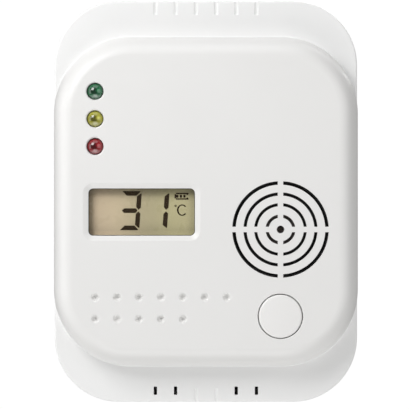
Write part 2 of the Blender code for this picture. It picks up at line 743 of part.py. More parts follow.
def make_display(group):
    """Clear sheet, frame, glass, and the two connector strips that carry the glass."""
    centre = WINDOW_CENTRE
    sheet_front = FACE_DEPTH - WALL - GAP
    sheet_rear = sheet_front - SHEET_THICK
    mesh = bmesh.new()
    add_prism(mesh, rounded_rectangle(SHEET_HALF, 1.5 * MM, centre, 3), sheet_rear, sheet_front)
    make_piece("display_window", mesh, "clear_sheet", group)

    frame_front = sheet_rear - GAP
    inner_half = (GLASS_HALF[0] + GAP, GLASS_HALF[1] + GAP)
    mesh = bmesh.new()
    add_prism(mesh, rounded_rectangle(DISPLAY_FRAME_HALF, 1.0 * MM, centre, 2), BOARD_TOP, frame_front)
    frame = make_piece("display_frame", mesh, "grey_board_frame", group)
    mesh = bmesh.new()
    inner = rounded_rectangle(inner_half, 0.4 * MM, centre, 2)
    add_prism(mesh, inner, BOARD_TOP - WALL, frame_front + WALL)
    cut(frame, mesh)

    glass_rear = frame_front - GLASS_THICK
    mesh = bmesh.new()
    add_prism(mesh, rounded_rectangle(GLASS_HALF, 0.3 * MM, centre, 1), glass_rear, frame_front)
    make_piece("display_glass", mesh, "display_glass", group)

    half_x, half_z = STRIP_HALF
    strip_x = (centre[0] - half_x, centre[0] + half_x)
    for name, side in (("upper", 1), ("lower", -1)):
        middle = centre[1] + side * STRIP_OFFSET
        mesh = bmesh.new()
        add_box(mesh, strip_x, (middle - half_z, middle + half_z), (BOARD_TOP, glass_rear - GAP))
        make_piece(f"display_connector_{name}", mesh, "elastomer", group)


def make_siren(group):
    """A cup with the piezo disc on its step, a resonator plate and a small tuning cap."""
    front = FACE_DEPTH - WALL - GAP
    floor = BOARD_TOP + 1.4 * MM
    step = floor + 2.4 * MM
    mesh = bmesh.new()
    cup = [
        (SIREN_RADIUS, BOARD_TOP),
        (SIREN_RADIUS, front),
        (SIREN_BORE, front),
        (SIREN_BORE, step),
        (SIREN_STEP_RADIUS, step),
        (SIREN_STEP_RADIUS, floor),
    ]
    add_turned(mesh, cup, GRILLE_CENTRE)
    make_piece("siren_housing", mesh, "black_plastic", group)

    disc = (step + GAP, step + GAP + 0.35 * MM)
    crystal = (disc[0] - GAP - 0.3 * MM, disc[0] - GAP)
    for name, radius, depths, finish in (
        ("piezo_disc", PIEZO_RADIUS, disc, "brass"),
        ("piezo_ceramic", PIEZO_CRYSTAL_RADIUS, crystal, "ceramic"),
    ):
        mesh = bmesh.new()
        add_prism(mesh, circle(radius, GRILLE_CENTRE), *depths)
        make_piece(name, mesh, finish, group)

    resonator = (disc[1] + 1.2 * MM, disc[1] + 2.4 * MM)
    cap = (resonator[1] + GAP, resonator[1] + GAP + 1.0 * MM)
    for name, radius, hole, depths, finish in (
        ("siren_resonator", SIREN_BORE - 2 * GAP, RESONATOR_HOLE, resonator, "black_plastic"),
        ("siren_tuning_cap", TUNING_CAP_RADIUS, TUNING_CAP_HOLE, cap, "brown_plastic"),
    ):
        mesh = bmesh.new()
        add_prism(mesh, circle(radius, GRILLE_CENTRE), *depths)
        plate = make_piece(name, mesh, finish, group)
        mesh = bmesh.new()
        add_prism(mesh, circle(hole, GRILLE_CENTRE, 12), depths[0] - WALL, depths[1] + WALL)
        cut(plate, mesh)


def make_test_switch(housing, button, plunger):
    """Under the button: its stem meets a plunger that slides in the switch body's blind hole."""
    body_front = BOARD_TOP + SWITCH_HEIGHT
    plunger_rear, plunger_front = (BOARD_TOP + height for height in PLUNGER_HEIGHTS)
    centre_x, centre_z = BUTTON_CENTRE
    sides = (centre_x - SWITCH_HALF, centre_x + SWITCH_HALF)
    ends = (centre_z - SWITCH_HALF, centre_z + SWITCH_HALF)
    mesh = bmesh.new()
    add_box(mesh, sides, ends, (BOARD_TOP, body_front))
    body = make_piece("test_switch_body", mesh, "black_plastic", housing)
    mesh = bmesh.new()
    hole = circle(PLUNGER_RADIUS + GAP, BUTTON_CENTRE, SMALL_ROUND_STEPS)
    add_prism(mesh, hole, BOARD_TOP + SWITCH_FLOOR, body_front + WALL)
    cut(body, mesh)

    mesh = bmesh.new()
    add_prism(mesh, circle(PLUNGER_RADIUS, BUTTON_CENTRE, SMALL_ROUND_STEPS), plunger_rear, plunger_front)
    make_piece("switch_plunger", mesh, "grey_board_frame", plunger)

    flange_front = FACE_DEPTH - WALL - GAP
    flange_rear = flange_front - CAP_FLANGE_THICK
    stem = [(CAP_STEM_RADIUS, plunger_front + GAP), (CAP_STEM_RADIUS, flange_rear)]
    flange = [(CAP_RADIUS + CAP_FLANGE, flange_rear), (CAP_RADIUS + CAP_FLANGE, flange_front)]
    crown = [
        (CAP_RADIUS, flange_front),
        (CAP_RADIUS, FACE_DEPTH - 0.3 * MM),
        (CAP_RADIUS - 0.2 * MM, FACE_DEPTH + 0.1 * MM),
        (CAP_RADIUS - 0.7 * MM, FACE_DEPTH + 0.35 * MM),
        (CAP_RADIUS * 0.5, FACE_DEPTH + 0.55 * MM),
        (CAP_RADIUS * 0.15, FACE_DEPTH + 0.6 * MM),
    ]
    mesh = bmesh.new()
    add_turned(mesh, stem + flange + crown, BUTTON_CENTRE)
    make_piece("test_button", mesh, "white_button", button)


# The circuit board and what stands on it.


def make_board(group):
    mesh = bmesh.new()
    add_prism(mesh, rounded_rectangle(BOARD_HALF, BOARD_CORNER, steps=4), BOARD_REAR, BOARD_FRONT)
    board = make_piece("main_board", mesh, "circuit_board", group)
    mesh = bmesh.new()
    for place in corners(BOARD_SCREW):
        add_prism(mesh, circle(BOARD_SCREW_HOLE, place, 12), BOARD_REAR - WALL, BOARD_FRONT + WALL)
    cut(board, mesh)


def make_board_parts(group):
    chip_x, chip_z, chip_half = -8.0 * MM, 27.0 * MM, 5.0 * MM
    mesh = bmesh.new()
    chip_sides = (chip_x - chip_half, chip_x + chip_half)
    chip_ends = (chip_z - chip_half, chip_z + chip_half)
    add_box(mesh, chip_sides, chip_ends, (BOARD_TOP, BOARD_TOP + 1.5 * MM))
    make_piece("microcontroller", mesh, "black_plastic", group)

    turned = {
        "siren_coil": ((22.0 * MM, 24.0 * MM), 5.0 * MM, 6.0 * MM, "black_plastic"),
        "filter_capacitor": ((8.0 * MM, 36.0 * MM), 3.1 * MM, 7.0 * MM, "steel"),
        "temperature_sensor": ((-12.0 * MM, -45.0 * MM), 1.4 * MM, 2.6 * MM, "black_plastic"),
    }
    for name, (centre, radius, height, finish) in turned.items():
        top = BOARD_TOP + height
        mesh = bmesh.new()
        add_turned(mesh, [(radius, BOARD_TOP), (radius, top - 0.5 * MM), (radius * 0.85, top)], centre, 16)
        make_piece(name, mesh, finish, group)


def make_gas_sensor(group):
    """The sensor's can stands off the board's rear, with a filter cap on its end."""
    foot_front = BOARD_REAR - GAP
    foot_rear = foot_front - SENSOR_FOOT_THICK
    end = foot_front - SENSOR_LENGTH
    can = [
        (SENSOR_FOOT_RADIUS, foot_front),
        (SENSOR_FOOT_RADIUS, foot_rear),
        (SENSOR_RADIUS, foot_rear),
        (SENSOR_RADIUS, end + SENSOR_EDGE),
        (SENSOR_RADIUS - SENSOR_EDGE, end),
    ]
    mesh = bmesh.new()
    add_turned(mesh, can, SENSOR_CENTRE)
    make_piece("gas_sensor_can", mesh, "steel", group)

    hole_radius, hole_depth = FILTER_CAP_HOLE
    cap_front = end - GAP
    cap_rear = cap_front - FILTER_CAP_THICK
    cap = [
        (FILTER_CAP_RADIUS, cap_front),
        (FILTER_CAP_RADIUS, cap_rear),
        (hole_radius, cap_rear),
        (hole_radius, cap_front - hole_depth),
    ]
    mesh = bmesh.new()
    add_turned(mesh, cap, SENSOR_CENTRE, SMALL_ROUND_STEPS)
    make_piece("gas_sensor_filter_cap", mesh, "black_plastic", group)


# Cells, contacts and springs.


def make_cell(name, height, nub_side, group):
    """A cell whose nub points to +X or -X, touching the flat contact on that side."""
    nub_end = nub_side * CELL_END_X
    shoulder = nub_end - nub_side * CELL_NUB
    foot = shoulder - nub_side * CELL_BODY
    bevel = nub_side * 0.5 * MM
    profile = [
        (CELL_NUB_RADIUS, nub_end),
        (CELL_NUB_RADIUS, shoulder),
        (CELL_RADIUS - abs(bevel), shoulder),
        (CELL_RADIUS, shoulder - bevel),
        (CELL_RADIUS, foot + bevel),
        (CELL_RADIUS - abs(bevel), foot),
    ]
    mesh = bmesh.new()
    add_turned(mesh, profile, (CELL_DEPTH, height), 24, sideways)
    make_piece(f"cell_{name}", mesh, "cell_sleeve", group)
    return foot


def make_spring(name, height, cell_foot, spring_side, group):
    """A conical wire spring between a cell's flat end and its contact plate."""
    near = cell_foot + spring_side * (GAP + SPRING_WIRE_RADIUS)
    far = spring_side * (CONTACT_X - GAP - SPRING_WIRE_RADIUS)
    small, large = 2.2 * MM, 4.0 * MM
    steps_each_turn = 12
    steps = int(SPRING_TURNS * steps_each_turn)
    curve = bpy.data.curves.new(name, "CURVE")
    curve.dimensions = "3D"
    curve.bevel_depth = SPRING_WIRE_RADIUS
    curve.bevel_resolution = 1
    curve.use_fill_caps = True
    spline = curve.splines.new("POLY")
    spline.points.add(steps)
    for step, point in enumerate(spline.points):
        share = step / steps
        angle = 2 * math.pi * SPRING_TURNS * share
        radius = small + (large - small) * share
        depth = CELL_DEPTH + radius * math.cos(angle)
        place = sideways(depth, height + radius * math.sin(angle), near + (far - near) * share)
        point.co = (*(place - group.location), 1.0)
    spring = bpy.data.objects.new(name, curve)
    spring.parent = group
    curve.materials.append(make_material(name, "steel"))
    bpy.context.scene.collection.objects.link(spring)


def make_contacts(group):
    plate_depth = (6.2 * MM, 19.0 * MM)
    bridge_reach = 6.5 * MM
    bridge_x = (-CONTACT_X - CONTACT_THICK, -CONTACT_X)
    bridge_z = (CELL_HEIGHTS["lower"] - bridge_reach, CELL_HEIGHTS["upper"] + bridge_reach)
    mesh = bmesh.new()
    add_box(mesh, bridge_x, bridge_z, plate_depth)
    make_piece("contact_bridge", mesh, "steel", group)

    half = 5.5 * MM
    tab_end = BOARD_REAR - GAP
    for name, height in (("positive", CELL_HEIGHTS["upper"]), ("negative", CELL_HEIGHTS["lower"])):
        outline = [
            (plate_depth[0], height - half),
            (plate_depth[0], height + half),
            (plate_depth[1], height + half),
            (plate_depth[1], height + CONTACT_TAB_HALF),
            (tab_end, height + CONTACT_TAB_HALF),
            (tab_end, height - CONTACT_TAB_HALF),
            (plate_depth[1], height - CONTACT_TAB_HALF),
            (plate_depth[1], height - half),
        ]
        mesh = bmesh.new()
        add_prism(mesh, outline, CONTACT_X, CONTACT_X + CONTACT_THICK, sideways)
        make_piece(f"contact_{name}", mesh, "steel", group)


def make_battery_set(group):
    sides = {"upper": 1, "lower": -1}
    for name, height in CELL_HEIGHTS.items():
        foot = make_cell(name, height, sides[name], group)
        make_spring(f"contact_spring_{name}", height, foot, -sides[name], group)
    make_contacts(group)


# Screws.


def make_screw(name, place, head_rear, length, head_radius, group):
    """A pan head on a plain shank."""
    head_thick = 1.5 * MM
    profile = [
        (head_radius * 0.8, head_rear),
        (head_radius, head_rear + 0.6 * MM),
        (head_radius, head_rear + head_thick),
        (1.15 * MM, head_rear + head_thick),
        (1.15 * MM, head_rear + length - 0.8 * MM),
        (0.5 * MM, head_rear + length),
    ]
    mesh = bmesh.new()
    add_turned(mesh, profile, place, 12)
    make_piece(name, mesh, "steel", group)


def make_screws(group):
    for number, place in enumerate(corners(CASE_SCREW), start=1):
        make_screw(f"housing_screw_{number}", place, HOUSING_REAR + 0.2 * MM, 10.5 * MM, 2.75 * MM, group)
    for number, place in enumerate(corners(BOARD_SCREW), start=1):
        make_screw(f"board_screw_{number}", place, BOARD_REAR - GAP - 1.5 * MM, 7.5 * MM, 2.3 * MM, group)


def clear_scene():
    for item in list(bpy.data.objects):
        bpy.data.objects.remove(item, do_unlink=True)


def main():
    clear_scene()
    wall_bracket = make_group("wall_bracket_axis", facing(0.0, 0.0, 0.0))
    housing = make_group("housing_axis", facing(0.0, 0.0, HOUSING_REAR))
    button = make_group("test_button_axis", facing(*BUTTON_CENTRE, FACE_DEPTH))
    plunger = make_group("switch_plunger_axis", facing(*BUTTON_CENTRE, BOARD_TOP))
    door = make_group("battery_door_axis", facing(0.0, HINGE_Z, HINGE_DEPTH))

    make_wall_plate(wall_bracket)
    make_front_cover(housing)
    make_rear_housing(housing)
    make_battery_door(door)
    for colour, height in LAMP_HEIGHTS.items():
        make_lamp(colour, height, housing)
    make_display(housing)
    make_siren(housing)
    make_test_switch(housing, button, plunger)
    make_board(housing)
    make_board_parts(housing)
    make_gas_sensor(housing)
    make_battery_set(housing)
    make_screws(housing)


main()
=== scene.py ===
"""The looks of a wall-hung carbon monoxide detector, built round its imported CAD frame.

Metres, +Z up, the wall at y = 0 and the front facing -Y. A "depth" is a distance in front of
the wall, so a point at depth d has y = -d.
"""

import math

import bmesh
import bpy
from mathutils import Matrix, Vector


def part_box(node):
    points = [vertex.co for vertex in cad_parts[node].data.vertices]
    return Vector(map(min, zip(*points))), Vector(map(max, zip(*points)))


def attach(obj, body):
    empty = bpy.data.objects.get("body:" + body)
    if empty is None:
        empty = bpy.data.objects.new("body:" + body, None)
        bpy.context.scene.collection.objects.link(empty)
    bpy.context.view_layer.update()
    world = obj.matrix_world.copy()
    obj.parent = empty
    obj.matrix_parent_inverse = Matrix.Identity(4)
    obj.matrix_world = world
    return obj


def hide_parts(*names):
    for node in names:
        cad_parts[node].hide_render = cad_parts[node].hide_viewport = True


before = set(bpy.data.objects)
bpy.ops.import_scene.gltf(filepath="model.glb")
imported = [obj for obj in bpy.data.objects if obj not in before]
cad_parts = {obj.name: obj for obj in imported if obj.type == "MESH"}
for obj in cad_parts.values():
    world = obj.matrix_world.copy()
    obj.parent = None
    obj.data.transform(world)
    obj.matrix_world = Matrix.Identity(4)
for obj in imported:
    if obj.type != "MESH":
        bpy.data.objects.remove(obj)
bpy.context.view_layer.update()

MM = 0.001

# Clearance between pieces, and how far a cut starts outside the surface.
GAP = 0.3 * MM
CUT_BEYOND = 1.0 * MM

# The cover's outline and profile, as in the CAD, with a fillet at the pod's foot.
COVER_LOW, COVER_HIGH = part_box("front_cover")
BASE_HALF = (50.55 * MM, COVER_HIGH.z)
BASE_CORNER = 21.5 * MM
BASE_EDGE = 0.6 * MM
POD_HALF = (COVER_HIGH.x, 54.85 * MM)
POD_CORNER = 25.7 * MM
COVER_REAR = -COVER_HIGH.y
FACE_DEPTH = -COVER_LOW.y
SHELF_DEPTH = FACE_DEPTH - 12.0 * MM
WALL = 2.0 * MM
POD_ROUND_RUN = 6.6 * MM
POD_ROUND_DROP = 10.5 * MM
POD_FILLET = 0.45 * MM


def node_centre(node):
    low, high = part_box(node)
    middle = (low + high) / 2
    return middle.x, middle.z


def node_depths(node):
    """The depths of a node's rear and front."""
    low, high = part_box(node)
    return -high.y, -low.y


# Openings in the face and the pieces that show in them, softened where the CAD has sharp edges.
WINDOW_CENTRE = node_centre("display_window")
WINDOW_HALF = (17.6 * MM, 7.8 * MM)
WINDOW_CORNER = 1.6 * MM
WINDOW_CHAMFER_RUN = 1.7 * MM
WINDOW_CHAMFER_DROP = 0.85 * MM
LAMPS = ("green", "yellow", "red")
LAMP_HOLE_RADIUS = 2.8 * MM
LAMP_HOLE_ROUND = 0.55 * MM
LAMP_RADIUS = 2.76 * MM
LAMP_FLANGE_RADIUS = 2.9 * MM
LAMP_FLANGE_THICK = 1.0 * MM
LAMP_FLANGE_EDGE = 0.15 * MM
LAMP_DOME = LAMP_RADIUS * 0.93
GRILLE_CENTRE = node_centre("siren_housing")
GRILLE_RINGS = ((15.95, 14.8), (12.25, 11.2), (8.7, 7.7), (4.95, 3.9))
GRILLE_RIB_HALF = 0.9 * MM
GRILLE_HOLE_RADIUS = 1.25 * MM
GRILLE_ROUND = 0.1 * MM
BUTTON_CENTRE = node_centre("test_button")
BUTTON_HOLE_RADIUS = 7.45 * MM
BUTTON_HOLE_ROUND = 0.3 * MM
BUTTON_COLLAR = (2.2 * MM, 1.2 * MM)
BUTTON_COLLAR_REAR = FACE_DEPTH - 6.5 * MM
BUTTON_FLANGE = 1.1 * MM
BUTTON_FLANGE_THICK = 1.0 * MM
BUTTON_STEM_RADIUS = 2.5 * MM
BUTTON_RIM = 0.7 * MM

# Dimples, grooves and slots, the dimples deeper than the CAD's.
DIMPLE_START_X = -36.55 * MM
DIMPLE_PITCH = 7.235 * MM
DIMPLE_ROWS = ((7, -31.6 * MM), (5, -38.8 * MM))
DIMPLE_RADIUS = 1.3 * MM
DIMPLE_DEPTH = 1.3 * MM
DIMPLE_LIP = 0.5 * MM
DIMPLE_LIP_DROP = 0.1 * MM
GROOVE_PITCH = 6.76 * MM
GROOVE_COUNT = 6
GROOVE_HALF_WIDTH = 0.72 * MM
GROOVE_LENGTH = 4.6 * MM
GROOVE_CUT = 0.42 * MM
GROOVE_LIP = 0.18 * MM
GROOVE_RUN_OUT = 0.5 * MM
GROOVE_REAR = 9.0 * MM
VENT_COLUMNS = (0, 1, 4, 5)
VENT_HALF_WIDTH = 0.55 * MM
VENT_CORNER = 0.25 * MM
VENT_FROM_EDGE = (2.35 * MM, 5.15 * MM)

# Screw bosses inside the cover.
BOARD_SCREW = (37.5 * MM, 43.0 * MM)
BOARD_BOSS_RADIUS = 2.75 * MM
CASE_SCREW = (38.0 * MM, 55.0 * MM)
CASE_BOSS_RADIUS = 3.2 * MM
CASE_BOSS_REAR = 6.9 * MM

# The display's digits and signs, placed from the middle of its opening.
DIGIT_HALF = (3.2 * MM, 6.45 * MM)
DIGIT_STROKE = 1.5 * MM
DIGIT_GAP = 0.2 * MM
DIGIT_SLANT = 0.068
DIGITS_UP = 0.47 * MM
DIGITS = ((-3.62 * MM, "abcdg"), (5.55 * MM, "bc"))
BATTERY_SYMBOL = (12.95 * MM, 5.23 * MM)
LETTER_C = (13.36 * MM, 0.64 * MM)
DEGREE_SIGN = (11.2 * MM, 2.05 * MM)
FILM = 0.12 * MM

CORNER_STEPS = 28
ROUND_STEPS = 96


# Shapes, built in a bmesh. Each is one closed body.


def facing(u, v, depth):
    """A point of a shape that looks at the viewer in front: u right, v up."""
    return Vector((u, -depth, v))


def sideways(u, v, x):
    """A point of a shape turned about a line along X: u in depth, v up."""
    return Vector((x, -u, v))


def rounded_rectangle(half, corner, centre=(0.0, 0.0), steps=CORNER_STEPS, grow=0.0):
    points = []
    radius = corner + grow
    for quarter, (side_u, side_v) in enumerate(((1, 1), (-1, 1), (-1, -1), (1, -1))):
        arc_u = centre[0] + side_u * (half[0] - corner)
        arc_v = centre[1] + side_v * (half[1] - corner)
        for step in range(steps + 1):
            angle = math.radians(90) * (quarter + step / steps)
            points.append((arc_u + radius * math.cos(angle), arc_v + radius * math.sin(angle)))
    return points


def circle(radius, centre=(0.0, 0.0), steps=ROUND_STEPS):
    turns = (2 * math.pi * step / steps for step in range(steps))
    return [(centre[0] + radius * math.cos(a), centre[1] + radius * math.sin(a)) for a in turns]


def add_loft(mesh, rings, place=facing):
    """A closed body through rings, each an outline and its distance along the body."""
    loops = [[mesh.verts.new(place(u, v, along)) for u, v in outline] for outline, along in rings]
    count = len(loops[0])
    for near, far in zip(loops, loops[1:]):
        for here in range(count):
            after = (here + 1) % count
            mesh.faces.new((near[here], near[after], far[after], far[here]))
    mesh.faces.new(loops[0])
    mesh.faces.new(loops[-1])


def add_prism(mesh, outline, start, end, place=facing):
    add_loft(mesh, [(outline, start), (outline, end)], place)


def add_box(mesh, x_range, z_range, depth_range):
    (left, right), (low, high) = x_range, z_range
    outline = [(left, low), (right, low), (right, high), (left, high)]
    add_prism(mesh, outline, *depth_range)


def add_turned(mesh, profile, centre=(0.0, 0.0), steps=ROUND_STEPS, place=facing):
    add_loft(mesh, [(circle(radius, centre, steps), along) for radius, along in profile], place)


def add_softened_hole(mesh, outline_at, rear, fillet, face=FACE_DEPTH, steps=5, reach=80):
    """A hole whose mouth rounds over into the face. outline_at(grow) gives its outline."""
    beyond = 1.5 * CUT_BEYOND
    rings = [(outline_at(0.0), rear)]
    for step in range(steps + 1):
        angle = math.radians(reach) * step / steps
        rings.append((outline_at(fillet * (1 - math.cos(angle))), face - fillet * (1 - math.sin(angle))))
    rings.append((outline_at(fillet * (1 - math.cos(math.radians(reach)))), face + beyond))
    add_loft(mesh, rings)


def add_round_hole(mesh, radius, centre, rear, fillet, points=ROUND_STEPS, steps=5):
    def outline_at(grow):
        return circle(radius + grow, centre, points)

    add_softened_hole(mesh, outline_at, rear, fillet, steps=steps)


def add_tube(mesh, outline, inner_outline, start, end, place=facing):
    """An open-ended tube between two outlines, from start to end."""
    rings = [(outline, start), (outline, end), (inner_outline, end), (inner_outline, start)]
    loops = [[mesh.verts.new(place(u, v, along)) for u, v in points] for points, along in rings]
    count = len(outline)
    for near, far in zip(loops, loops[1:] + loops[:1]):
        for here in range(count):
            after = (here + 1) % count
            mesh.faces.new((near[here], near[after], far[after], far[here]))


def arc_profile(start, end, bulge_from, steps):
    """Points on a quarter of an ellipse from start to end, leaving start along bulge_from."""
    points = []
    for step in range(steps + 1):
        angle = math.radians(90) * step / steps
        grow_a, grow_b = math.sin(angle), 1 - math.cos(angle)
        if bulge_from == "radius":
            share_radius, share_along = grow_a, grow_b
        else:
            share_radius, share_along = grow_b, grow_a
        radius = start[0] + (end[0] - start[0]) * share_radius
        along = start[1] + (end[1] - start[1]) * share_along
        points.append((radius, along))
    return points


# Objects.


def make_object(name, mesh):
    bmesh.ops.recalc_face_normals(mesh, faces=mesh.faces)
    data = bpy.data.meshes.new(name)
    mesh.to_mesh(data)
    mesh.free()
    item = bpy.data.objects.new(name, data)
    bpy.context.scene.collection.objects.link(item)
    return item


def combine(item, mesh, operation):
    """Apply a Boolean with the shape, and keep only the result."""
    tool = make_object("tool", mesh)
    modifier = item.modifiers.new("tool", "BOOLEAN")
    modifier.object = tool
    modifier.operation = operation
    modifier.solver = "EXACT"
    depsgraph = bpy.context.evaluated_depsgraph_get()
    shaped = bpy.data.meshes.new_from_object(item.evaluated_get(depsgraph))
    item.modifiers.clear()
    before = item.data
    item.data = shaped
    bpy.data.meshes.remove(before)
    bpy.data.objects.remove(tool)


def smooth(item, sharp=32):
    """Shade round stretches smooth and keep flat ones flat."""
    item.data.shade_smooth()
    item.data.set_sharp_from_angle(angle=math.radians(sharp))
    weighted = item.modifiers.new("weighted", "WEIGHTED_NORMAL")
    weighted.keep_sharp = True
    weighted.weight = 90


def bevel_edges(item, width, segments=3, angle=32):
    bevel = item.modifiers.new("edges", "BEVEL")
    bevel.width = width
    bevel.segments = segments
    bevel.limit_method = "ANGLE"
    bevel.angle_limit = math.radians(angle)
    bevel.use_clamp_overlap = True


def finish_piece(item, material, body, nodes=(), sharp=32):
    item.data.materials.clear()
    item.data.materials.append(material)
    smooth(item, sharp)
    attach(item, body)
    if nodes:
        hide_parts(*nodes)
    return item


def refined_copy(node, name, width, segments=2):
    """A node's own shape, cleaned of its triangles, with softly rounded edges."""
    mesh = bmesh.new()
    mesh.from_mesh(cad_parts[node].data)
    bmesh.ops.remove_doubles(mesh, verts=mesh.verts, dist=1e-6)
    bmesh.ops.dissolve_limit(mesh, angle_limit=math.radians(0.6), verts=mesh.verts, edges=mesh.edges)
    item = make_object(name, mesh)
    bevel_edges(item, width, segments)
    return item


# Materials. Every one is made of nodes, in object space.


class Look:
    """A Principled material under construction, with its coordinates ready."""

    def __init__(self, name, colour, roughness, metallic=0.0):
        self.material = bpy.data.materials.new(name)
        self.material.use_nodes = True
        self.nodes = self.material.node_tree.nodes
        self.links = self.material.node_tree.links
        self.shader = self.nodes["Principled BSDF"]
        self.colour = colour
        self.set("Base Color", (*colour, 1.0))
        self.set("Roughness", roughness)
        self.set("Metallic", metallic)
        self.place = self.nodes.new("ShaderNodeTexCoord").outputs["Object"]
        self.height = None

    def set(self, socket, value):
        self.shader.inputs[socket].default_value = value

    def link(self, source, target):
        self.links.new(source, target)

    def scaled(self, scale):
        mapping = self.nodes.new("ShaderNodeMapping")
        mapping.inputs["Scale"].default_value = scale
        self.link(self.place, mapping.inputs["Vector"])
        return mapping.outputs["Vector"]

    def noise(self, scale, detail=3.0, stretch=(1, 1, 1), rough=0.5):
        node = self.nodes.new("ShaderNodeTexNoise")
        node.inputs["Scale"].default_value = scale
        node.inputs["Detail"].default_value = detail
        node.inputs["Roughness"].default_value = rough
        self.link(self.scaled(stretch), node.inputs["Vector"])
        return node.outputs["Fac"]

    def span(self, value, low, high, from_low=0.0, from_high=1.0):
        node = self.nodes.new("ShaderNodeMapRange")
        node.inputs["From Min"].default_value = from_low
        node.inputs["From Max"].default_value = from_high
        node.inputs["To Min"].default_value = low
        node.inputs["To Max"].default_value = high
        self.link(value, node.inputs["Value"])
        return node.outputs["Result"]

    def ramp(self, value, stops):
        node = self.nodes.new("ShaderNodeValToRGB")
        elements = node.color_ramp.elements
        while len(elements) < len(stops):
            elements.new(0.5)
        for element, (position, colour) in zip(elements, stops):
            element.position = position
            element.color = (*colour, 1.0)
        self.link(value, node.inputs["Fac"])
        return node.outputs["Color"]

    def mix(self, share, low, high, blend="MIX"):
        """Mix two colours, each a tuple or a socket, by a number or a socket."""
        node = self.nodes.new("ShaderNodeMix")
        node.data_type = "RGBA"
        node.blend_type = blend
        for name, value in (("Factor_Float", share), ("A_Color", low), ("B_Color", high)):
            socket = next(s for s in node.inputs if s.identifier == name)
            if isinstance(value, bpy.types.NodeSocket):
                self.link(value, socket)
            elif isinstance(value, tuple):
                socket.default_value = (*value, 1.0)
            else:
                socket.default_value = value
        return next(s for s in node.outputs if s.identifier == "Result_Color")

    def bump(self, height, depth):
        """Add fine relief, depth being the height of white over black in metres."""
        node = self.nodes.new("ShaderNodeBump")
        node.inputs["Strength"].default_value = 1.0
        node.inputs["Distance"].default_value = depth
        self.link(height, node.inputs["Height"])
        if self.height is not None:
            self.link(self.height, node.inputs["Normal"])
        self.height = node.outputs["Normal"]
        self.link(self.height, self.shader.inputs["Normal"])

    def paint(self, colour):
        self.link(colour, self.shader.inputs["Base Color"])

    def roughen(self, low, high, scale, detail=2.0):
        self.link(self.span(self.noise(scale, detail), low, high, 0.3, 0.7), self.shader.inputs["Roughness"])

    def mottle(self, amount, scale, detail=2.0):
        """Slow variation of the base colour, brighter and darker by the amount."""
        darker = tuple(channel * (1 - amount) for channel in self.colour)
        lighter = tuple(min(1.0, channel * (1 + amount)) for channel in self.colour)
        value = self.span(self.noise(scale, detail), 0.0, 1.0, 0.3, 0.7)
        self.paint(self.mix(value, darker, lighter))


def moulded_look(name, colour, roughness, grain=0.000004, mottling=0.008):
    """Injection-moulded plastic: a fine spark-eroded grain, and slow unevenness of gloss."""
    look = Look(name, colour, roughness)
    look.mottle(mottling, 35.0)
    look.roughen(roughness * 0.88, roughness * 1.12, 900.0)
    look.bump(look.noise(4200.0, 2.0), grain)
    look.bump(look.noise(60.0, 1.0), grain * 2)
    look.set("IOR", 1.5)
    return look


def moulded_plastic(*details, **more):
    """The finished material of a moulded_look."""
    return moulded_look(*details, **more).material


def shell_plastic(name, colour, painted_light_tier, roughness):
    """The shell's plastic, painted a shade paler from the shelf back than on the raised pod: painted light
    on the base tier.
    """
    look = moulded_look(name, colour, roughness)
    raised = look.shader.inputs["Base Color"].links[0].from_socket
    parts = look.nodes.new("ShaderNodeSeparateXYZ")
    look.link(look.place, parts.inputs["Vector"])
    # Painted light: from just in front of the shelf back, the paler colour stands in for the extra light the
    # base tier catches.
    share = look.span(parts.outputs["Y"], 0.0, 1.0, -SHELF_DEPTH - 1.2 * MM, -SHELF_DEPTH - 0.2 * MM)
    look.paint(look.mix(share, raised, painted_light_tier))
    return look.material


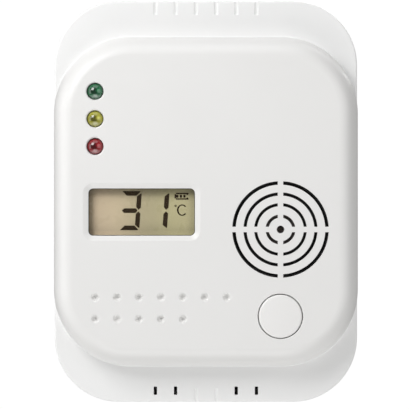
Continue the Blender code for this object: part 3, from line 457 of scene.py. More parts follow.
def tinted_resin(name, colour, centre):
    """Clear dyed resin over a lamp's cup, with light and shade painted into its colour: painted shade in the
    heart and at the rim, a painted light spot on the right and a painted pool of light low in the dome.
    """
    look = Look(name, colour, 0.06)
    # Painted shade and painted light: dark is the colour of the shaded heart, pale that of the pool of
    # light.
    dark = tuple(channel * 0.22 for channel in colour)
    pale = tuple(channel * 0.72 + 0.16 for channel in colour)

    def blob(offset, radius):
        """White at a point of the dome, offset in lamp radii, fading to black round it."""
        place = look.nodes.new("ShaderNodeMapping")
        place.vector_type = "TEXTURE"
        x, z = centre[0] + offset[0] * LAMP_RADIUS, centre[1] + offset[1] * LAMP_RADIUS
        place.inputs["Location"].default_value = (x, 0.0, z)
        across, up = radius[0] * LAMP_RADIUS, radius[1] * LAMP_RADIUS
        place.inputs["Scale"].default_value = (across, 1000.0, up)
        look.link(look.place, place.inputs["Vector"])
        ball = look.nodes.new("ShaderNodeTexGradient")
        ball.gradient_type = "QUADRATIC_SPHERE"
        look.link(place.outputs["Vector"], ball.inputs["Vector"])
        return ball.outputs["Fac"]

    # Painted shade in the heart of the dome.
    painted_shade_heart = look.span(blob((-0.12, 0.02), (1.0, 0.75)), 0.0, 1.0, 0.0, 0.4)
    tone = look.mix(painted_shade_heart, colour, dark)
    # A painted light spot, standing for light caught on the right of the dome.
    painted_light_spot = look.span(blob((0.42, 0.12), (0.5, 0.5)), 0.0, 0.9, 0.0, 0.7)
    tone = look.mix(painted_light_spot, tone, tuple(min(1.0, channel * 1.7 + 0.01) for channel in colour))
    # A painted pool of light low in the dome.
    painted_light_pool = look.span(blob((0.05, -0.66), (1.15, 0.42)), 0.0, 1.0, 0.0, 0.42)
    tone = look.mix(painted_light_pool, tone, pale)
    # Painted shade: the rim colour darkens the dome's edge, as the hole's shadow would.
    body = look.span(blob((0.0, 0.0), (1.12, 1.12)), 0.0, 1.0, 0.005, 0.035)
    rim = tuple(channel * 0.4 + 0.004 for channel in colour)
    look.paint(look.mix(body, rim, tone))
    look.roughen(0.03, 0.07, 700.0)
    look.bump(look.noise(400.0, 1.0), 0.000004)
    look.set("Transmission Weight", 0.15)
    look.set("IOR", 1.54)
    look.set("Coat Weight", 0.75)
    look.set("Coat IOR", 1.55)
    look.set("Coat Roughness", 0.03)
    return look.material


def clear_sheet(name):
    """A thin polished window. Its alpha stands for what it reflects and absorbs."""
    look = Look(name, (0.44, 0.34, 0.2), 0.04)
    look.roughen(0.03, 0.07, 160.0)
    look.bump(look.noise(80.0, 1.0), 0.000003)
    look.set("Alpha", 0.03)
    look.set("IOR", 1.49)
    return look.material


def display_panel(name):
    """A reflective liquid crystal: warm on the left, greener on the right, with painted shade at the top and
    the left edge and painted light at the right edge.
    """
    look = Look(name, (0.5, 0.45, 0.3), 0.3)
    parts = look.nodes.new("ShaderNodeSeparateXYZ")
    look.link(look.place, parts.inputs["Vector"])
    left, right = WINDOW_CENTRE[0] - WINDOW_HALF[0], WINDOW_CENTRE[0] + WINDOW_HALF[0]
    low, high = WINDOW_CENTRE[1] - WINDOW_HALF[1], WINDOW_CENTRE[1] + WINDOW_HALF[1]
    # The darkest stops at the left edge are a painted shadow of the opening's wall, and the paler stops from
    # 0.78 on are painted light. The warm-to-green change between them is the panel's own tone.
    tone = look.ramp(
        look.span(parts.outputs["X"], 0.0, 1.0, left, right),
        (
            (0.0, (0.50, 0.40, 0.28)),
            (0.035, (0.58, 0.47, 0.325)),
            (0.06, (0.80, 0.65, 0.455)),
            (0.1, (0.89, 0.725, 0.51)),
            (0.25, (0.885, 0.735, 0.505)),
            (0.5, (0.67, 0.59, 0.377)),
            (0.62, (0.65, 0.585, 0.36)),
            (0.78, (0.725, 0.67, 0.385)),
            (0.93, (0.76, 0.70, 0.405)),
            (1.0, (0.74, 0.69, 0.41)),
        ),
    )
    cloud = look.span(look.noise(180.0, 2.0), 0.0, 0.09, 0.3, 0.7)
    speckle = look.span(look.noise(5200.0, 1.0), 0.0, 0.10, 0.35, 0.65)
    tone = look.mix(speckle, look.mix(cloud, tone, (0.52, 0.49, 0.32)), (0.39, 0.36, 0.26))
    # Painted shade: darker towards the top, where the opening's top wall shadows the panel.
    painted_shade_levels = (
        (0.0, 1.0),
        (0.06, 0.9),
        (0.12, 0.79),
        (0.2, 0.77),
        (0.7, 0.77),
        (0.79, 0.74),
        (0.84, 0.66),
        (0.88, 0.56),
    )
    height = look.span(parts.outputs["Z"], 0.0, 1.0, low, high)
    shade = look.ramp(height, [(share, (level, level, level)) for share, level in painted_shade_levels])
    look.paint(look.mix(1.0, tone, shade, "MULTIPLY"))
    look.bump(look.noise(5200.0, 1.0), 0.000002)
    look.roughen(0.24, 0.36, 300.0)
    return look.material


def segment_ink(name):
    """A dark segment of the display, slightly uneven in tone."""
    look = Look(name, (0.013, 0.007, 0.004), 0.5)
    look.set("Specular IOR Level", 0.05)
    look.mottle(0.35, 900.0)
    look.roughen(0.35, 0.5, 500.0)
    look.bump(look.noise(3000.0, 1.0), 0.000002)
    return look.material


def plated_metal(name, colour, roughness, stretch=(1, 1, 14)):
    """Rolled or plated metal: fine lines along one way, and small changes of tone."""
    look = Look(name, colour, roughness, 1.0)
    lines = look.noise(900.0, 3.0, stretch)
    look.paint(look.mix(look.span(lines, 0.0, 1.0, 0.3, 0.7), tuple(c * 0.82 for c in colour), colour))
    look.link(look.span(lines, roughness * 0.75, roughness * 1.3, 0.3, 0.7), look.shader.inputs["Roughness"])
    look.bump(lines, 0.000003)
    return look.material


def circuit_board(name):
    """Solder mask with its copper tracks showing as slightly raised, paler lines."""
    look = Look(name, (0.012, 0.12, 0.045), 0.32)
    tracks = look.nodes.new("ShaderNodeTexBrick")
    tracks.inputs["Scale"].default_value = 240.0
    tracks.inputs["Mortar Size"].default_value = 0.035
    tracks.inputs["Mortar Smooth"].default_value = 0.2
    tracks.inputs["Color1"].default_value = (0.0, 0.0, 0.0, 1.0)
    tracks.inputs["Color2"].default_value = (0.0, 0.0, 0.0, 1.0)
    tracks.inputs["Mortar"].default_value = (1.0, 1.0, 1.0, 1.0)
    turned = look.nodes.new("ShaderNodeMapping")
    turned.inputs["Rotation"].default_value = (math.radians(90), 0.0, 0.0)
    look.link(look.place, turned.inputs["Vector"])
    look.link(turned.outputs["Vector"], tracks.inputs["Vector"])
    lines = tracks.outputs["Color"]
    look.paint(look.mix(look.span(lines, 0.0, 0.7), look.colour, (0.05, 0.26, 0.09)))
    look.bump(lines, 0.00003)
    look.roughen(0.25, 0.42, 300.0)
    return look.material


def striped_rubber(name):
    """The alternate conducting and insulating layers of a connector strip."""
    look = Look(name, (0.3, 0.3, 0.32), 0.8)
    waves = look.nodes.new("ShaderNodeTexWave")
    waves.inputs["Scale"].default_value = 1100.0
    waves.bands_direction = "X"
    look.link(look.place, waves.inputs["Vector"])
    look.paint(look.ramp(waves.outputs["Fac"], ((0.35, (0.03, 0.03, 0.03)), (0.6, (0.42, 0.42, 0.45)))))
    look.bump(waves.outputs["Fac"], 0.00001)
    return look.material


def fired_ceramic(name):
    """Matt fired ceramic with a fine, pale unevenness."""
    look = Look(name, (0.72, 0.70, 0.66), 0.42)
    look.mottle(0.06, 260.0, 4.0)
    look.bump(look.noise(2600.0, 3.0), 0.000004)
    look.roughen(0.35, 0.5, 500.0)
    return look.material


def cell_sleeve(name):
    """A plain film sleeve, grey with a paler band towards +X."""
    look = Look(name, (0.16, 0.17, 0.18), 0.3)
    across = look.nodes.new("ShaderNodeSeparateXYZ")
    look.link(look.place, across.inputs["Vector"])
    reach = 26.0 * MM
    share = look.span(across.outputs["X"], 0.0, 1.0, -reach, reach)
    dark, pale = look.colour, (0.6, 0.6, 0.58)
    look.paint(look.ramp(share, ((0.0, dark), (0.78, dark), (0.785, pale))))
    look.roughen(0.22, 0.36, 500.0)
    look.bump(look.noise(220.0, 2.0), 0.00001)
    look.set("Coat Weight", 0.35)
    look.set("Coat Roughness", 0.12)
    return look.material


# The second colour is the shell's painted light on the base tier and on the parts behind it.
WHITE_SHELL = shell_plastic("shell_white", (0.83, 0.824, 0.812), (0.905, 0.905, 0.9), 0.36)
WHITE_BUTTON = moulded_plastic("button_white", (0.865, 0.857, 0.843), 0.33, grain=0.000002)
GREY_PLASTIC = moulded_plastic("plastic_grey", (0.55, 0.56, 0.56), 0.5, mottling=0.03)
BLACK_PLASTIC = moulded_plastic("plastic_black", (0.012, 0.012, 0.013), 0.45, mottling=0.2)
BROWN_PLASTIC = moulded_plastic("plastic_brown", (0.10, 0.082, 0.078), 0.5, mottling=0.12)
CLEAR_SHEET = clear_sheet("window_clear")
DISPLAY_PANEL = display_panel("display_olive")
SEGMENT_INK = segment_ink("display_segments_dark")
STEEL = plated_metal("steel_plated", (0.62, 0.62, 0.60), 0.3)
BRASS = plated_metal("brass_aged", (0.56, 0.46, 0.36), 0.34, (1, 1, 1))
BOARD_GREEN = circuit_board("board_green")
RUBBER = striped_rubber("strip_rubber")
CERAMIC = fired_ceramic("ceramic_fired")
SLEEVE = cell_sleeve("cell_film")
RESINS = {
    colour: tinted_resin(f"resin_{colour}", tint, node_centre(f"lamp_{colour}"))
    for colour, tint in (
        ("green", (0.011, 0.15, 0.055)),
        ("yellow", (0.45, 0.43, 0.04)),
        ("red", (0.32, 0.005, 0.012)),
    )
}


# The front cover.


def base_rings(inset, rear, front, edge, edge_steps=8):
    """Straight sides and a softly rounded front edge."""
    half = (BASE_HALF[0] - inset, BASE_HALF[1] - inset)
    corner = BASE_CORNER - inset
    rings = [(rounded_rectangle(half, corner), rear)]
    for step in range(edge_steps + 1):
        angle = math.radians(90) * step / edge_steps
        run = edge * (1 - math.cos(angle))
        rings.append((rounded_rectangle(half, corner, grow=-run), front - edge + edge * math.sin(angle)))
    return rings


def inside_base(point):
    """How far inside the base tier's outline a point is, negative outside it."""
    from_arc_x = abs(point[0]) - (BASE_HALF[0] - BASE_CORNER)
    from_arc_z = abs(point[1]) - (BASE_HALF[1] - BASE_CORNER)
    if from_arc_x > 0 and from_arc_z > 0:
        return BASE_CORNER - math.hypot(from_arc_x, from_arc_z)
    return min(BASE_HALF[0] - abs(point[0]), BASE_HALF[1] - abs(point[1]))


def pod_foot_ring(spread, depth):
    """The pod's outline, spread outwards only where the shelf lies under it."""
    plain = rounded_rectangle(POD_HALF, POD_CORNER)
    grown = rounded_rectangle(POD_HALF, POD_CORNER, grow=spread)
    ring = []
    for (plain_x, plain_z), (grown_x, grown_z) in zip(plain, grown):
        room = max(0.0, inside_base((plain_x, plain_z)) - BASE_EDGE)
        share = min(1.0, room / (3 * POD_FILLET))
        ring.append((plain_x + (grown_x - plain_x) * share, plain_z + (grown_z - plain_z) * share))
    return ring, depth


def pod_rings(inset, rear, front, round_steps=16):
    """Straight sides that round over into the face along a quarter of an ellipse."""
    outside = inset == 0.0
    rings = [(rounded_rectangle(POD_HALF, POD_CORNER, grow=-inset), rear)]
    if outside:
        fillet_steps, reach = 6, 12
        rings.append((rounded_rectangle(POD_HALF, POD_CORNER), SHELF_DEPTH - 1.2 * MM))
        start = math.radians(reach)
        spread = POD_FILLET * (1 - math.sin(start))
        rings.append(pod_foot_ring(spread, SHELF_DEPTH - 0.6 * MM))
        for step in range(fillet_steps + 1):
            angle = start + (math.radians(90) - start) * step / fillet_steps
            spread = POD_FILLET * (1 - math.sin(angle))
            rings.append(pod_foot_ring(spread, SHELF_DEPTH + POD_FILLET * (1 - math.cos(angle))))
    shoulder = FACE_DEPTH - POD_ROUND_DROP
    for step in range(round_steps + 1):
        angle = math.radians(90) * step / round_steps
        offset = POD_ROUND_RUN - (POD_ROUND_RUN - inset) * math.cos(angle)
        outline = rounded_rectangle(POD_HALF, POD_CORNER, grow=-offset)
        rings.append((outline, shoulder + (front - shoulder) * math.sin(angle)))
    return rings


def slot_outline(outer, inner, quarter, grow, arc_steps=20):
    """A quarter of a ring slot, between ribs with parallel edges."""
    turn = math.radians(90) * quarter
    rib = GRILLE_RIB_HALF - grow
    outline = []
    for radius, backwards in ((outer + grow, False), (inner - grow, True)):
        margin = math.asin(rib / radius)
        span = math.radians(90) - 2 * margin
        for step in range(arc_steps + 1):
            share = 1 - step / arc_steps if backwards else step / arc_steps
            angle = turn + margin + span * share
            x, z = radius * math.cos(angle), radius * math.sin(angle)
            outline.append((GRILLE_CENTRE[0] + x, GRILLE_CENTRE[1] + z))
    return outline


def add_grille(mesh, rear):
    """Rings of quarter slots round a small hole."""
    for outer, inner in GRILLE_RINGS:
        for quarter in range(4):
            def outline_at(grow, outer=outer * MM, inner=inner * MM, quarter=quarter):
                return slot_outline(outer, inner, quarter, grow)

            add_softened_hole(mesh, outline_at, rear, GRILLE_ROUND, steps=3)
    add_round_hole(mesh, GRILLE_HOLE_RADIUS, GRILLE_CENTRE, rear, GRILLE_ROUND, points=40)


def add_window(mesh, rear):
    """The opening, inside a shallow chamfer whose outer edge rolls softly into the face."""
    def ring(grow, depth):
        return rounded_rectangle(WINDOW_HALF, WINDOW_CORNER, WINDOW_CENTRE, 10, grow), depth

    floor = FACE_DEPTH - WINDOW_CHAMFER_DROP
    soft = 0.12
    slope = WINDOW_CHAMFER_DROP / WINDOW_CHAMFER_RUN
    rings = [ring(0.0, rear), ring(0.0, floor - 0.1 * MM), ring(0.03 * MM, floor - 0.03 * MM)]
    rings.append(ring(0.12 * MM, floor + 0.02 * MM))
    last = WINDOW_CHAMFER_RUN * (1 - soft)
    rings.append(ring(last, floor + last * slope))
    rings.append(ring(WINDOW_CHAMFER_RUN * (1 + soft / 2), FACE_DEPTH - 0.012 * MM))
    rings.append(ring(WINDOW_CHAMFER_RUN * (1 + soft), FACE_DEPTH + CUT_BEYOND))
    add_loft(mesh, rings)


def add_dimples(mesh):
    """Blind round-bottomed hollows, each inside a broad soft lip."""
    power, steps = 2.2, 9
    floor = FACE_DEPTH - DIMPLE_LIP_DROP
    profile = []
    for step in range(1, steps + 1):
        share = step / steps
        profile.append((DIMPLE_RADIUS * share, floor - DIMPLE_DEPTH * (1 - share**power)))
    for across, drop in ((0.3, 0.5), (0.7, 0.15), (1.0, 0.03)):
        profile.append((DIMPLE_RADIUS + DIMPLE_LIP * across, FACE_DEPTH - DIMPLE_LIP_DROP * drop))
    profile.append((DIMPLE_RADIUS + DIMPLE_LIP, FACE_DEPTH + CUT_BEYOND))
    for count, height in DIMPLE_ROWS:
        for column in range(count):
            add_turned(mesh, profile, (DIMPLE_START_X + DIMPLE_PITCH * column, height), 36)


def groove_positions():
    middle = (GROOVE_COUNT - 1) / 2
    return [GROOVE_PITCH * (column - middle) for column in range(GROOVE_COUNT)]


def groove_section(surface):
    """A groove's section across: a round bottom and rolled edges, as (offset, height)."""
    steps = 12
    outer = GROOVE_HALF_WIDTH + GROOVE_LIP
    edge, top = surface + 0.002 * MM, surface + 2 * CUT_BEYOND
    points = [(-outer, top), (-outer, edge)]
    for step in range(steps + 1):
        share = 2 * step / steps - 1
        points.append((GROOVE_HALF_WIDTH * share, surface - GROOVE_CUT * (1 - share**2) ** 0.8))
    return points + [(outer, edge), (outer, top)]


def run_out(section, share=0.25):
    """A shelf groove's section where the groove begins, at a share of its full depth."""
    shallow = []
    for u, v in section:
        kept = share if v < SHELF_DEPTH else 1
        shallow.append((u, SHELF_DEPTH + (v - SHELF_DEPTH) * kept))
    return shallow


def add_shelf_grooves(mesh):
    """Grooves across the shelf, each starting with a short run-out."""
    edge = BASE_HALF[1]
    start, end = edge - GROOVE_LENGTH, edge + 2 * CUT_BEYOND
    section = groove_section(SHELF_DEPTH)
    rings = [(run_out(section), start), (section, start + GROOVE_RUN_OUT), (section, end)]
    for column, x in enumerate(groove_positions()):
        for side in (1, -1):
            if side < 0 and column in VENT_COLUMNS:
                continue

            def place(u, v, along, x=x, side=side):
                return Vector((x + u, -v, side * along))

            add_loft(mesh, rings, place)


def add_edge_grooves(mesh):
    """The same grooves down the sides: over the top edge, and short of the bottom one."""
    section = groove_section(BASE_HALF[1])
    top_front = SHELF_DEPTH + 2 * CUT_BEYOND
    bottom_front = SHELF_DEPTH - BASE_EDGE - 0.4 * MM
    for x in groove_positions():
        for side, front in ((1, top_front), (-1, bottom_front)):
            def place(u, v, along, x=x, side=side):
                return Vector((x + u, -along, side * v))

            add_loft(mesh, [(section, GROOVE_REAR), (section, front)], place)


def add_bottom_vents(mesh):
    middle = -BASE_HALF[1] + sum(VENT_FROM_EDGE) / 2
    half = (VENT_HALF_WIDTH, (VENT_FROM_EDGE[1] - VENT_FROM_EDGE[0]) / 2)
    positions = groove_positions()
    for column in VENT_COLUMNS:
        outline = rounded_rectangle(half, VENT_CORNER, (positions[column], middle), 4)
        add_prism(mesh, outline, SHELF_DEPTH - 2 * WALL, SHELF_DEPTH + WALL)


def corners(offset):
    return [(side_x * offset[0], side_z * offset[1]) for side_x in (1, -1) for side_z in (1, -1)]


def add_bosses(mesh):
    """The screw bosses behind the face and the shelf, and the button's guide collar."""
    sunk = 0.4 * MM
    board_front = node_depths("main_board")[1] + GAP
    under_face = FACE_DEPTH - WALL + sunk
    for place in corners(BOARD_SCREW):
        add_prism(mesh, circle(BOARD_BOSS_RADIUS, place, 32), board_front, under_face)
    for place in corners(CASE_SCREW):
        add_prism(mesh, circle(CASE_BOSS_RADIUS, place, 32), CASE_BOSS_REAR, SHELF_DEPTH - WALL + sunk)
    outer, inner = (BUTTON_HOLE_RADIUS + grow for grow in BUTTON_COLLAR)
    rear = BUTTON_COLLAR_REAR
    collar = [(outer, under_face), (outer, rear), (inner, rear), (inner, under_face - sunk / 2)]
    add_turned(mesh, collar, BUTTON_CENTRE)


def add_lamp_holes(mesh, rear):
    for colour in LAMPS:
        centre = node_centre(f"lamp_{colour}")
        add_round_hole(mesh, LAMP_HOLE_RADIUS, centre, rear, LAMP_HOLE_ROUND, points=56, steps=6)


def make_cover():
    mesh = bmesh.new()
    add_loft(mesh, base_rings(0.0, COVER_REAR, SHELF_DEPTH, BASE_EDGE))
    cover = make_object("cover_shell", mesh)

    mesh = bmesh.new()
    add_loft(mesh, pod_rings(0.0, COVER_REAR, FACE_DEPTH))
    combine(cover, mesh, "UNION")

    mesh = bmesh.new()
    add_loft(mesh, base_rings(WALL, -WALL, SHELF_DEPTH - WALL, BASE_EDGE, 3))
    combine(cover, mesh, "DIFFERENCE")

    mesh = bmesh.new()
    add_loft(mesh, pod_rings(WALL, SHELF_DEPTH - 2 * WALL, FACE_DEPTH - WALL, 8))
    combine(cover, mesh, "DIFFERENCE")

    mesh = bmesh.new()
    add_bosses(mesh)
    combine(cover, mesh, "UNION")

    rear = FACE_DEPTH - 2 * WALL
    mesh = bmesh.new()
    add_window(mesh, rear)
    add_lamp_holes(mesh, rear)
    add_grille(mesh, rear)
    add_round_hole(mesh, BUTTON_HOLE_RADIUS, BUTTON_CENTRE, rear, BUTTON_HOLE_ROUND)
    add_dimples(mesh)
    add_shelf_grooves(mesh)
    combine(cover, mesh, "DIFFERENCE")

    mesh = bmesh.new()
    add_edge_grooves(mesh)
    add_bottom_vents(mesh)
    combine(cover, mesh, "DIFFERENCE")
    finish_piece(cover, WHITE_SHELL, "housing", ["front_cover"], sharp=28)


# The test button.


def make_button():
    """Stem, flange and a low crown with a rounded rim."""
    rear, front = node_depths("test_button")
    radius = BUTTON_HOLE_RADIUS - GAP
    flange_radius = radius + BUTTON_FLANGE
    flange_front = FACE_DEPTH - WALL - GAP
    flange_rear = flange_front - BUTTON_FLANGE_THICK
    side_top = FACE_DEPTH - 0.25 * MM
    edge_top = FACE_DEPTH + (front - FACE_DEPTH) * 0.55
    crown_radius = radius - BUTTON_RIM
    profile = [
        (BUTTON_STEM_RADIUS, rear),
        (BUTTON_STEM_RADIUS, flange_rear),
        (flange_radius, flange_rear),
        (flange_radius, flange_front),
        (radius, flange_front),
    ]
    profile += arc_profile((radius, side_top), (crown_radius, edge_top), "along", 7)
    steps = 8
    for step in range(1, steps + 1):
        across = crown_radius * (1 - 0.97 * step / steps)
        profile.append((across, edge_top + (front - edge_top) * (1 - (across / crown_radius) ** 2)))
    mesh = bmesh.new()
    add_turned(mesh, profile, BUTTON_CENTRE)
    button = make_object("button_cap", mesh)
    finish_piece(button, WHITE_BUTTON, "test_button", ["test_button"])


# The lamps: a resin dome, and inside it the lead frame with its reflector cup.


def make_lamp(colour):
    rear, front = node_depths(f"lamp_{colour}")
    flange_front = rear + LAMP_FLANGE_THICK
    softened = LAMP_FLANGE_RADIUS - LAMP_FLANGE_EDGE
    dome_start = front - LAMP_DOME
    profile = [
        (softened, rear),
        (LAMP_FLANGE_RADIUS, rear + LAMP_FLANGE_EDGE),
        (LAMP_FLANGE_RADIUS, flange_front - LAMP_FLANGE_EDGE),
        (softened, flange_front),
        (LAMP_RADIUS, flange_front),
        (LAMP_RADIUS, dome_start - 0.5 * MM),
    ]
    steps = 18
    for step in range(steps + 1):
        angle = math.radians(89) * step / steps
        profile.append((LAMP_RADIUS * math.cos(angle), dome_start + LAMP_DOME * math.sin(angle)))
    mesh = bmesh.new()
    add_turned(mesh, profile, node_centre(f"lamp_{colour}"), 64)
    dome = make_object(f"lamp_dome_{colour}", mesh)
    finish_piece(dome, RESINS[colour], "housing", [f"lamp_{colour}"], sharp=40)
    make_lead_frame(colour, dome_start)


def make_lead_frame(colour, dome_start):
    """The reflector cup on its post, left of the middle, and a flat post on the right."""
    x, z = node_centre(f"lamp_{colour}")
    cup_front = dome_start + 0.3 * MM
    cup_rear = cup_front - 1.0 * MM
    post_rear = cup_rear - 2.2 * MM
    post_radius = 0.75 * MM
    cup = [
        (post_radius, post_rear),
        (post_radius, cup_rear),
        (1.15 * MM, cup_front),
        (1.0 * MM, cup_front),
        (0.5 * MM, cup_front - 0.5 * MM),
    ]
    mesh = bmesh.new()
    add_turned(mesh, cup, (x - 0.45 * MM, z), 32)
    post_half = 0.35 * MM
    post_depths = (post_rear, cup_front - 0.2 * MM)
    add_box(mesh, (x + 1.0 * MM, x + 1.5 * MM), (z - post_half, z + post_half), post_depths)
    lead_frame = make_object(f"lamp_lead_frame_{colour}", mesh)
    finish_piece(lead_frame, STEEL, "housing")


# The display: panel, dark segments, a cell symbol and a degree sign with a C.


def segment_outlines(half_width, half_height, stroke, gap):
    """The seven segments of a digit, by letter, as outlines round its centre."""
    w, h, s, g = half_width, half_height, stroke, gap
    m = s / 2
    top = [(-w, h), (w - g * 3, h), (w - g * 2, h - g), (w - s - g, h - s), (-w + s, h - s)]
    upper = [(w - g, h - g * 3.5), (w, h - g * 4.5), (w, m + g), (w - m, g * 1.3), (w - s, m + g * 2)]
    upper.append((w - s, h - s - g))
    middle = [(-w + g, 0), (-w + m + g, m), (w - m - g * 4, m), (w - g * 5, 0), (w - m - g * 4, -m)]
    middle.append((-w + m + g, -m))

    def flipped(points, u, v):
        return [(x * u, y * v) for x, y in points]

    return {
        "a": top,
        "b": upper,
        "c": flipped(upper, 1, -1),
        "d": flipped(top, 1, -1),
        "e": flipped(upper, -1, -1),
        "f": flipped(upper, -1, 1),
        "g": middle,
    }


def add_digit(mesh, centre, lit, depths):
    """A leaning seven-segment digit with the lit segments only."""
    outlines = segment_outlines(*DIGIT_HALF, DIGIT_STROKE, DIGIT_GAP)
    for letter in lit:
        outline = [(centre[0] + x + DIGIT_SLANT * y, centre[1] + y) for x, y in outlines[letter]]
        add_prism(mesh, outline, *depths)


def ring_band(centre, outer, inner, start, end, steps=24):
    """A stretch of a ring, between two angles in degrees."""
    def arc(radii, angles):
        points = []
        for angle in angles:
            turn = math.radians(angle)
            points.append((centre[0] + radii[0] * math.cos(turn), centre[1] + radii[1] * math.sin(turn)))
        return points

    angles = [start + (end - start) * step / steps for step in range(steps + 1)]
    return arc(outer, angles) + arc(inner, reversed(angles))


def add_battery_symbol(mesh, centre, depths):
    """A round-cornered cell outline with three blocks in it, its nub end drawn as two stubs."""
    half = (2.1 * MM, 1.12 * MM)
    line = 0.44 * MM
    x, z = centre
    left, right = x - half[0], x + half[0]
    for side in (1, -1):
        bar = sorted((z + side * (half[1] - line), z + side * half[1]))
        add_box(mesh, (left + line, right + line), bar, depths)
        stub = sorted((z + side * 0.42 * MM, z + side * (half[1] - line)))
        add_box(mesh, (right - line / 2, right + line / 2), stub, depths)
    add_box(mesh, (left, left + line * 1.25), (z - half[1] + line, z + half[1] - line), depths)
    for column in (-1, 0, 1):
        block = rounded_rectangle((0.38 * MM, 0.47 * MM), 0.18 * MM, (x + column * 1.18 * MM, z), 3)
        add_prism(mesh, block, *depths)


def add_celsius_sign(mesh, depths):
    """A narrow C with its degree sign."""
    x, z = WINDOW_CENTRE
    letter = (x + LETTER_C[0], z + LETTER_C[1])
    outer, inner = (1.72 * MM, 1.88 * MM), (1.18 * MM, 1.54 * MM)
    add_prism(mesh, ring_band(letter, outer, inner, 40, 320), *depths)
    small = (x + DEGREE_SIGN[0], z + DEGREE_SIGN[1])
    outer, inner = (0.36 * MM, 0.36 * MM), (0.14 * MM, 0.14 * MM)
    add_prism(mesh, ring_band(small, outer, inner, 0, 350, 20), *depths)


def make_display():
    """The panel, the polariser laid on it, and the dark segments laid on that."""
    rear, front = node_depths("display_glass")
    low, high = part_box("display_glass")
    half = ((high.x - low.x) / 2, (high.z - low.z) / 2)
    corner = 0.3 * MM
    mesh = bmesh.new()
    add_prism(mesh, rounded_rectangle(half, corner, WINDOW_CENTRE, 3), rear, front - 2 * FILM)
    panel = make_object("display_panel_glass", mesh)
    bevel_edges(panel, 0.1 * MM, 2)
    finish_piece(panel, DISPLAY_PANEL, "housing", ["display_glass"])

    film_half = (half[0] - 0.6 * MM, half[1] - 1.0 * MM)
    film_outline = rounded_rectangle(film_half, corner, WINDOW_CENTRE, 3)
    mesh = bmesh.new()
    add_prism(mesh, film_outline, front - 1.7 * FILM, front - 0.6 * FILM)
    polariser = make_object("display_polariser", mesh)
    finish_piece(polariser, DISPLAY_PANEL, "housing")

    depths = (front - 0.5 * FILM, front - 0.1 * FILM)
    x, z = WINDOW_CENTRE
    mesh = bmesh.new()
    for right, lit in DIGITS:
        add_digit(mesh, (x + right, z + DIGITS_UP), lit, depths)
    add_battery_symbol(mesh, (x + BATTERY_SYMBOL[0], z + BATTERY_SYMBOL[1]), depths)
    add_celsius_sign(mesh, depths)
    segments = make_object("display_segments", mesh)
    finish_piece(segments, SEGMENT_INK, "housing")


def make_painted_shade_lining():
    """A thin black lining inside the opening, between the clear sheet and the chamfer, put there as painted
    shade that darkens the display's edges.
    """
    rear = node_depths("display_window")[1] + 0.05 * MM
    front = FACE_DEPTH - WINDOW_CHAMFER_DROP - 0.25 * MM
    outer, inner = (
        rounded_rectangle(WINDOW_HALF, WINDOW_CORNER, WINDOW_CENTRE, 8, grow)
        for grow in (-0.01 * MM, -0.17 * MM)
    )
    mesh = bmesh.new()
    add_tube(mesh, outer, inner, rear, front)
    # Painted shade: a black sheet where the opening has only shadow.
    shade_lining = make_object("display_painted_shade_lining", mesh)
    finish_piece(shade_lining, BLACK_PLASTIC, "housing")


# The back: housing, door and wall plate keep the CAD's shapes with softened edges.


def make_back():
    housing = refined_copy("rear_housing", "rear_tray", 0.22 * MM)
    finish_piece(housing, WHITE_SHELL, "housing", ["rear_housing"])
    door = refined_copy("battery_door", "door_panel", 0.2 * MM)
    finish_piece(door, WHITE_SHELL, "battery_door", ["battery_door"])
    plate = refined_copy("wall_plate", "hook_plate", 0.3 * MM)
    finish_piece(plate, WHITE_SHELL, "wall_bracket", ["wall_plate"])


def make_screw(number):
    """A pan head with a crossed recess, on a threaded shank."""
    node = f"housing_screw_{number}"
    centre = node_centre(node)
    rear, front = node_depths(node)
    head, crest, root = 2.75 * MM, 1.15 * MM, 0.85 * MM
    head_side, head_front = rear + 0.9 * MM, rear + 1.5 * MM
    profile = arc_profile((head * 0.35, rear), (head, head_side), "radius", 6)
    profile += [(head, head_front), (crest, head_front)]
    turns = 8
    start, end = rear + 2.2 * MM, front - 1.2 * MM
    for turn in range(turns):
        along = start + (end - start) * turn / turns
        pitch = (end - start) / turns
        profile += [(root, along), (crest, along + pitch / 2)]
    profile += [(root, end), (0.25 * MM, front)]
    mesh = bmesh.new()
    add_turned(mesh, profile, centre, 40)
    screw = make_object(f"screw_case_{number}", mesh)
    arm, width, recess = 1.35 * MM, 0.32 * MM, 0.85 * MM
    for half_x, half_z in ((arm, width), (width, arm)):
        sides = (centre[0] - half_x, centre[0] + half_x)
        ends = (centre[1] - half_z, centre[1] + half_z)
        mesh = bmesh.new()
        add_box(mesh, sides, ends, (rear - CUT_BEYOND, rear + recess))
        combine(screw, mesh, "DIFFERENCE")
    finish_piece(screw, STEEL, "housing", [node])


# The cells: a steel can, its film sleeve and its nub.


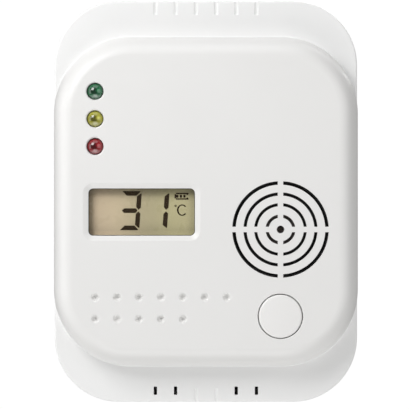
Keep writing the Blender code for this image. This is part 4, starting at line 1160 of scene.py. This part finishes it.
def make_cell(name):
    """A can and its sleeve. Distances along them are from the end of the nub, or the foot."""
    low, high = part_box(f"cell_{name}")
    middle = (low + high) / 2
    radius = (high.z - low.z) / 2
    centre = (-middle.y, middle.z)
    inward = -1 if name == "upper" else 1
    nub_end, foot = (high.x, low.x) if name == "upper" else (low.x, high.x)
    nub, can = 2.75 * MM, radius - 0.15 * MM
    from_nub = (
        (nub - 0.55 * MM, 0.0),
        (nub - 0.15 * MM, 0.15 * MM),
        (nub, 0.4 * MM),
        (nub, 1.2 * MM),
        (radius - 1.2 * MM, 1.3 * MM),
        (radius - 0.4 * MM, 1.5 * MM),
        (can, 1.9 * MM),
    )
    profile = [(across, nub_end + inward * distance) for across, distance in from_nub]
    profile += [(can, foot - inward * 0.5 * MM), (radius - 0.6 * MM, foot)]
    mesh = bmesh.new()
    add_turned(mesh, profile, centre, 64, sideways)
    steel = make_object(f"cell_can_{name}", mesh)
    finish_piece(steel, STEEL, "housing", [f"cell_{name}"])

    outer, inner = circle(radius, centre, 64), circle(radius - 0.1 * MM, centre, 64)
    mesh = bmesh.new()
    add_tube(mesh, outer, inner, nub_end + inward * 1.7 * MM, foot - inward * 0.8 * MM, sideways)
    sleeve = make_object(f"cell_sleeve_{name}", mesh)
    finish_piece(sleeve, SLEEVE, "housing")


# The pieces that keep their CAD shapes, by material.

KEPT = (
    (CLEAR_SHEET, ("display_window",)),
    (GREY_PLASTIC, ("display_frame", "switch_plunger")),
    (RUBBER, ("display_connector_upper", "display_connector_lower")),
    (BOARD_GREEN, ("main_board",)),
    (BLACK_PLASTIC, ("microcontroller", "siren_coil", "temperature_sensor", "gas_sensor_filter_cap")),
    (BLACK_PLASTIC, ("siren_housing", "siren_resonator", "test_switch_body")),
    (BLACK_PLASTIC, [f"lamp_spacer_{colour}" for colour in LAMPS]),
    (BROWN_PLASTIC, ("siren_tuning_cap",)),
    (BRASS, ("piezo_disc",)),
    (CERAMIC, ("piezo_ceramic",)),
    (STEEL, ("filter_capacitor", "gas_sensor_can")),
    (STEEL, ("contact_bridge", "contact_positive", "contact_negative")),
    (STEEL, ("contact_spring_upper", "contact_spring_lower")),
    (STEEL, [f"board_screw_{number}" for number in range(1, 5)]),
)


def dress_kept_nodes():
    for material, nodes in KEPT:
        for node in nodes:
            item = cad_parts[node]
            item.data.materials.clear()
            item.data.materials.append(material)
            item.data.shade_smooth()
            item.data.set_sharp_from_angle(angle=math.radians(35))


# Stage, light and camera.


def make_stage():
    """A plain pale floor, well below the detector."""
    size, drop = 1.3, 0.8
    mesh = bmesh.new()
    bmesh.ops.create_grid(mesh, x_segments=2, y_segments=2, size=size)
    floor = make_object("floor", mesh)
    floor.location = (0.0, 0.0, -drop)
    floor.data.materials.append(moulded_plastic("floor_pale", (0.86, 0.86, 0.85), 0.7, mottling=0.01))


def make_world(strength, seen):
    """A dim surround for the light, which the camera sees as a white backdrop."""
    world = bpy.data.worlds.new("surround")
    bpy.context.scene.world = world
    world.use_nodes = True
    nodes, links = world.node_tree.nodes, world.node_tree.links
    nodes.clear()
    output = nodes.new("ShaderNodeOutputWorld")
    mix = nodes.new("ShaderNodeMixShader")
    path = nodes.new("ShaderNodeLightPath")
    lighting = nodes.new("ShaderNodeBackground")
    lighting.inputs["Color"].default_value = (1.0, 0.997, 0.99, 1.0)
    lighting.inputs["Strength"].default_value = strength
    backdrop = nodes.new("ShaderNodeBackground")
    backdrop.inputs["Color"].default_value = (1.0, 1.0, 1.0, 1.0)
    backdrop.inputs["Strength"].default_value = seen
    links.new(path.outputs["Is Camera Ray"], mix.inputs["Fac"])
    links.new(lighting.outputs["Background"], mix.inputs[1])
    links.new(backdrop.outputs["Background"], mix.inputs[2])
    links.new(mix.outputs["Shader"], output.inputs["Surface"])


def make_light(name, direction, size, irradiance, distance=1.0, colour=(1.0, 1.0, 1.0)):
    """A square soft light that gives a surface facing it that irradiance over pi."""
    light = bpy.data.lights.new(name, "AREA")
    light.shape = "SQUARE"
    light.size = size
    light.energy = irradiance * math.pi**2 * distance**2
    light.color = colour
    item = bpy.data.objects.new(name, light)
    aim = Vector(direction).normalized()
    item.location = Vector((0.0, -20.0 * MM, 0.0)) + aim * distance
    item.rotation_mode = "QUATERNION"
    item.rotation_quaternion = aim.to_track_quat("Z", "Y")
    bpy.context.scene.collection.objects.link(item)


def make_camera():
    """A long lens, level, with the detector a little above and right of the middle."""
    distance = 1.0
    frame_width = 136.73 * MM
    aim_x, aim_z = -0.47 * MM, -1.0 * MM
    data = bpy.data.cameras.new("camera")
    data.sensor_width = 36.0
    data.lens = data.sensor_width * distance / frame_width
    data.clip_start, data.clip_end = 0.05, 20.0
    camera = bpy.data.objects.new("camera", data)
    camera.location = (aim_x, -SHELF_DEPTH - distance, aim_z)
    camera.rotation_euler = (math.radians(90), 0.0, 0.0)
    bpy.context.scene.collection.objects.link(camera)
    bpy.context.scene.camera = camera


def light_scene():
    make_world(0.17, 1.02)
    make_light("key", (-0.54, -0.64, 0.54), 0.28, 0.555, distance=0.55)
    make_light("top", (0.0, -0.35, 1.0), 0.9, 0.332, colour=(0.98, 0.99, 1.0))
    make_light("left", (-1.0, -0.15, 0.0), 0.9, 0.362)
    make_light("right", (0.8, -0.6, 0.1), 0.9, 0.285)
    make_light("below", (0.0, -0.5, -0.8), 0.6, 0.385, distance=0.7)
    make_light("behind", (0.35, 0.8, 0.7), 0.7, 0.6)
    bpy.context.scene.view_settings.view_transform = "Standard"
    bpy.context.scene.view_settings.look = "None"


def main():
    make_camera()
    make_cover()
    make_button()
    for colour in LAMPS:
        make_lamp(colour)
    make_display()
    make_painted_shade_lining()
    make_back()
    for number in range(1, 5):
        make_screw(number)
    for name in ("upper", "lower"):
        make_cell(name)
    dress_kept_nodes()
    make_stage()
    light_scene()


main()
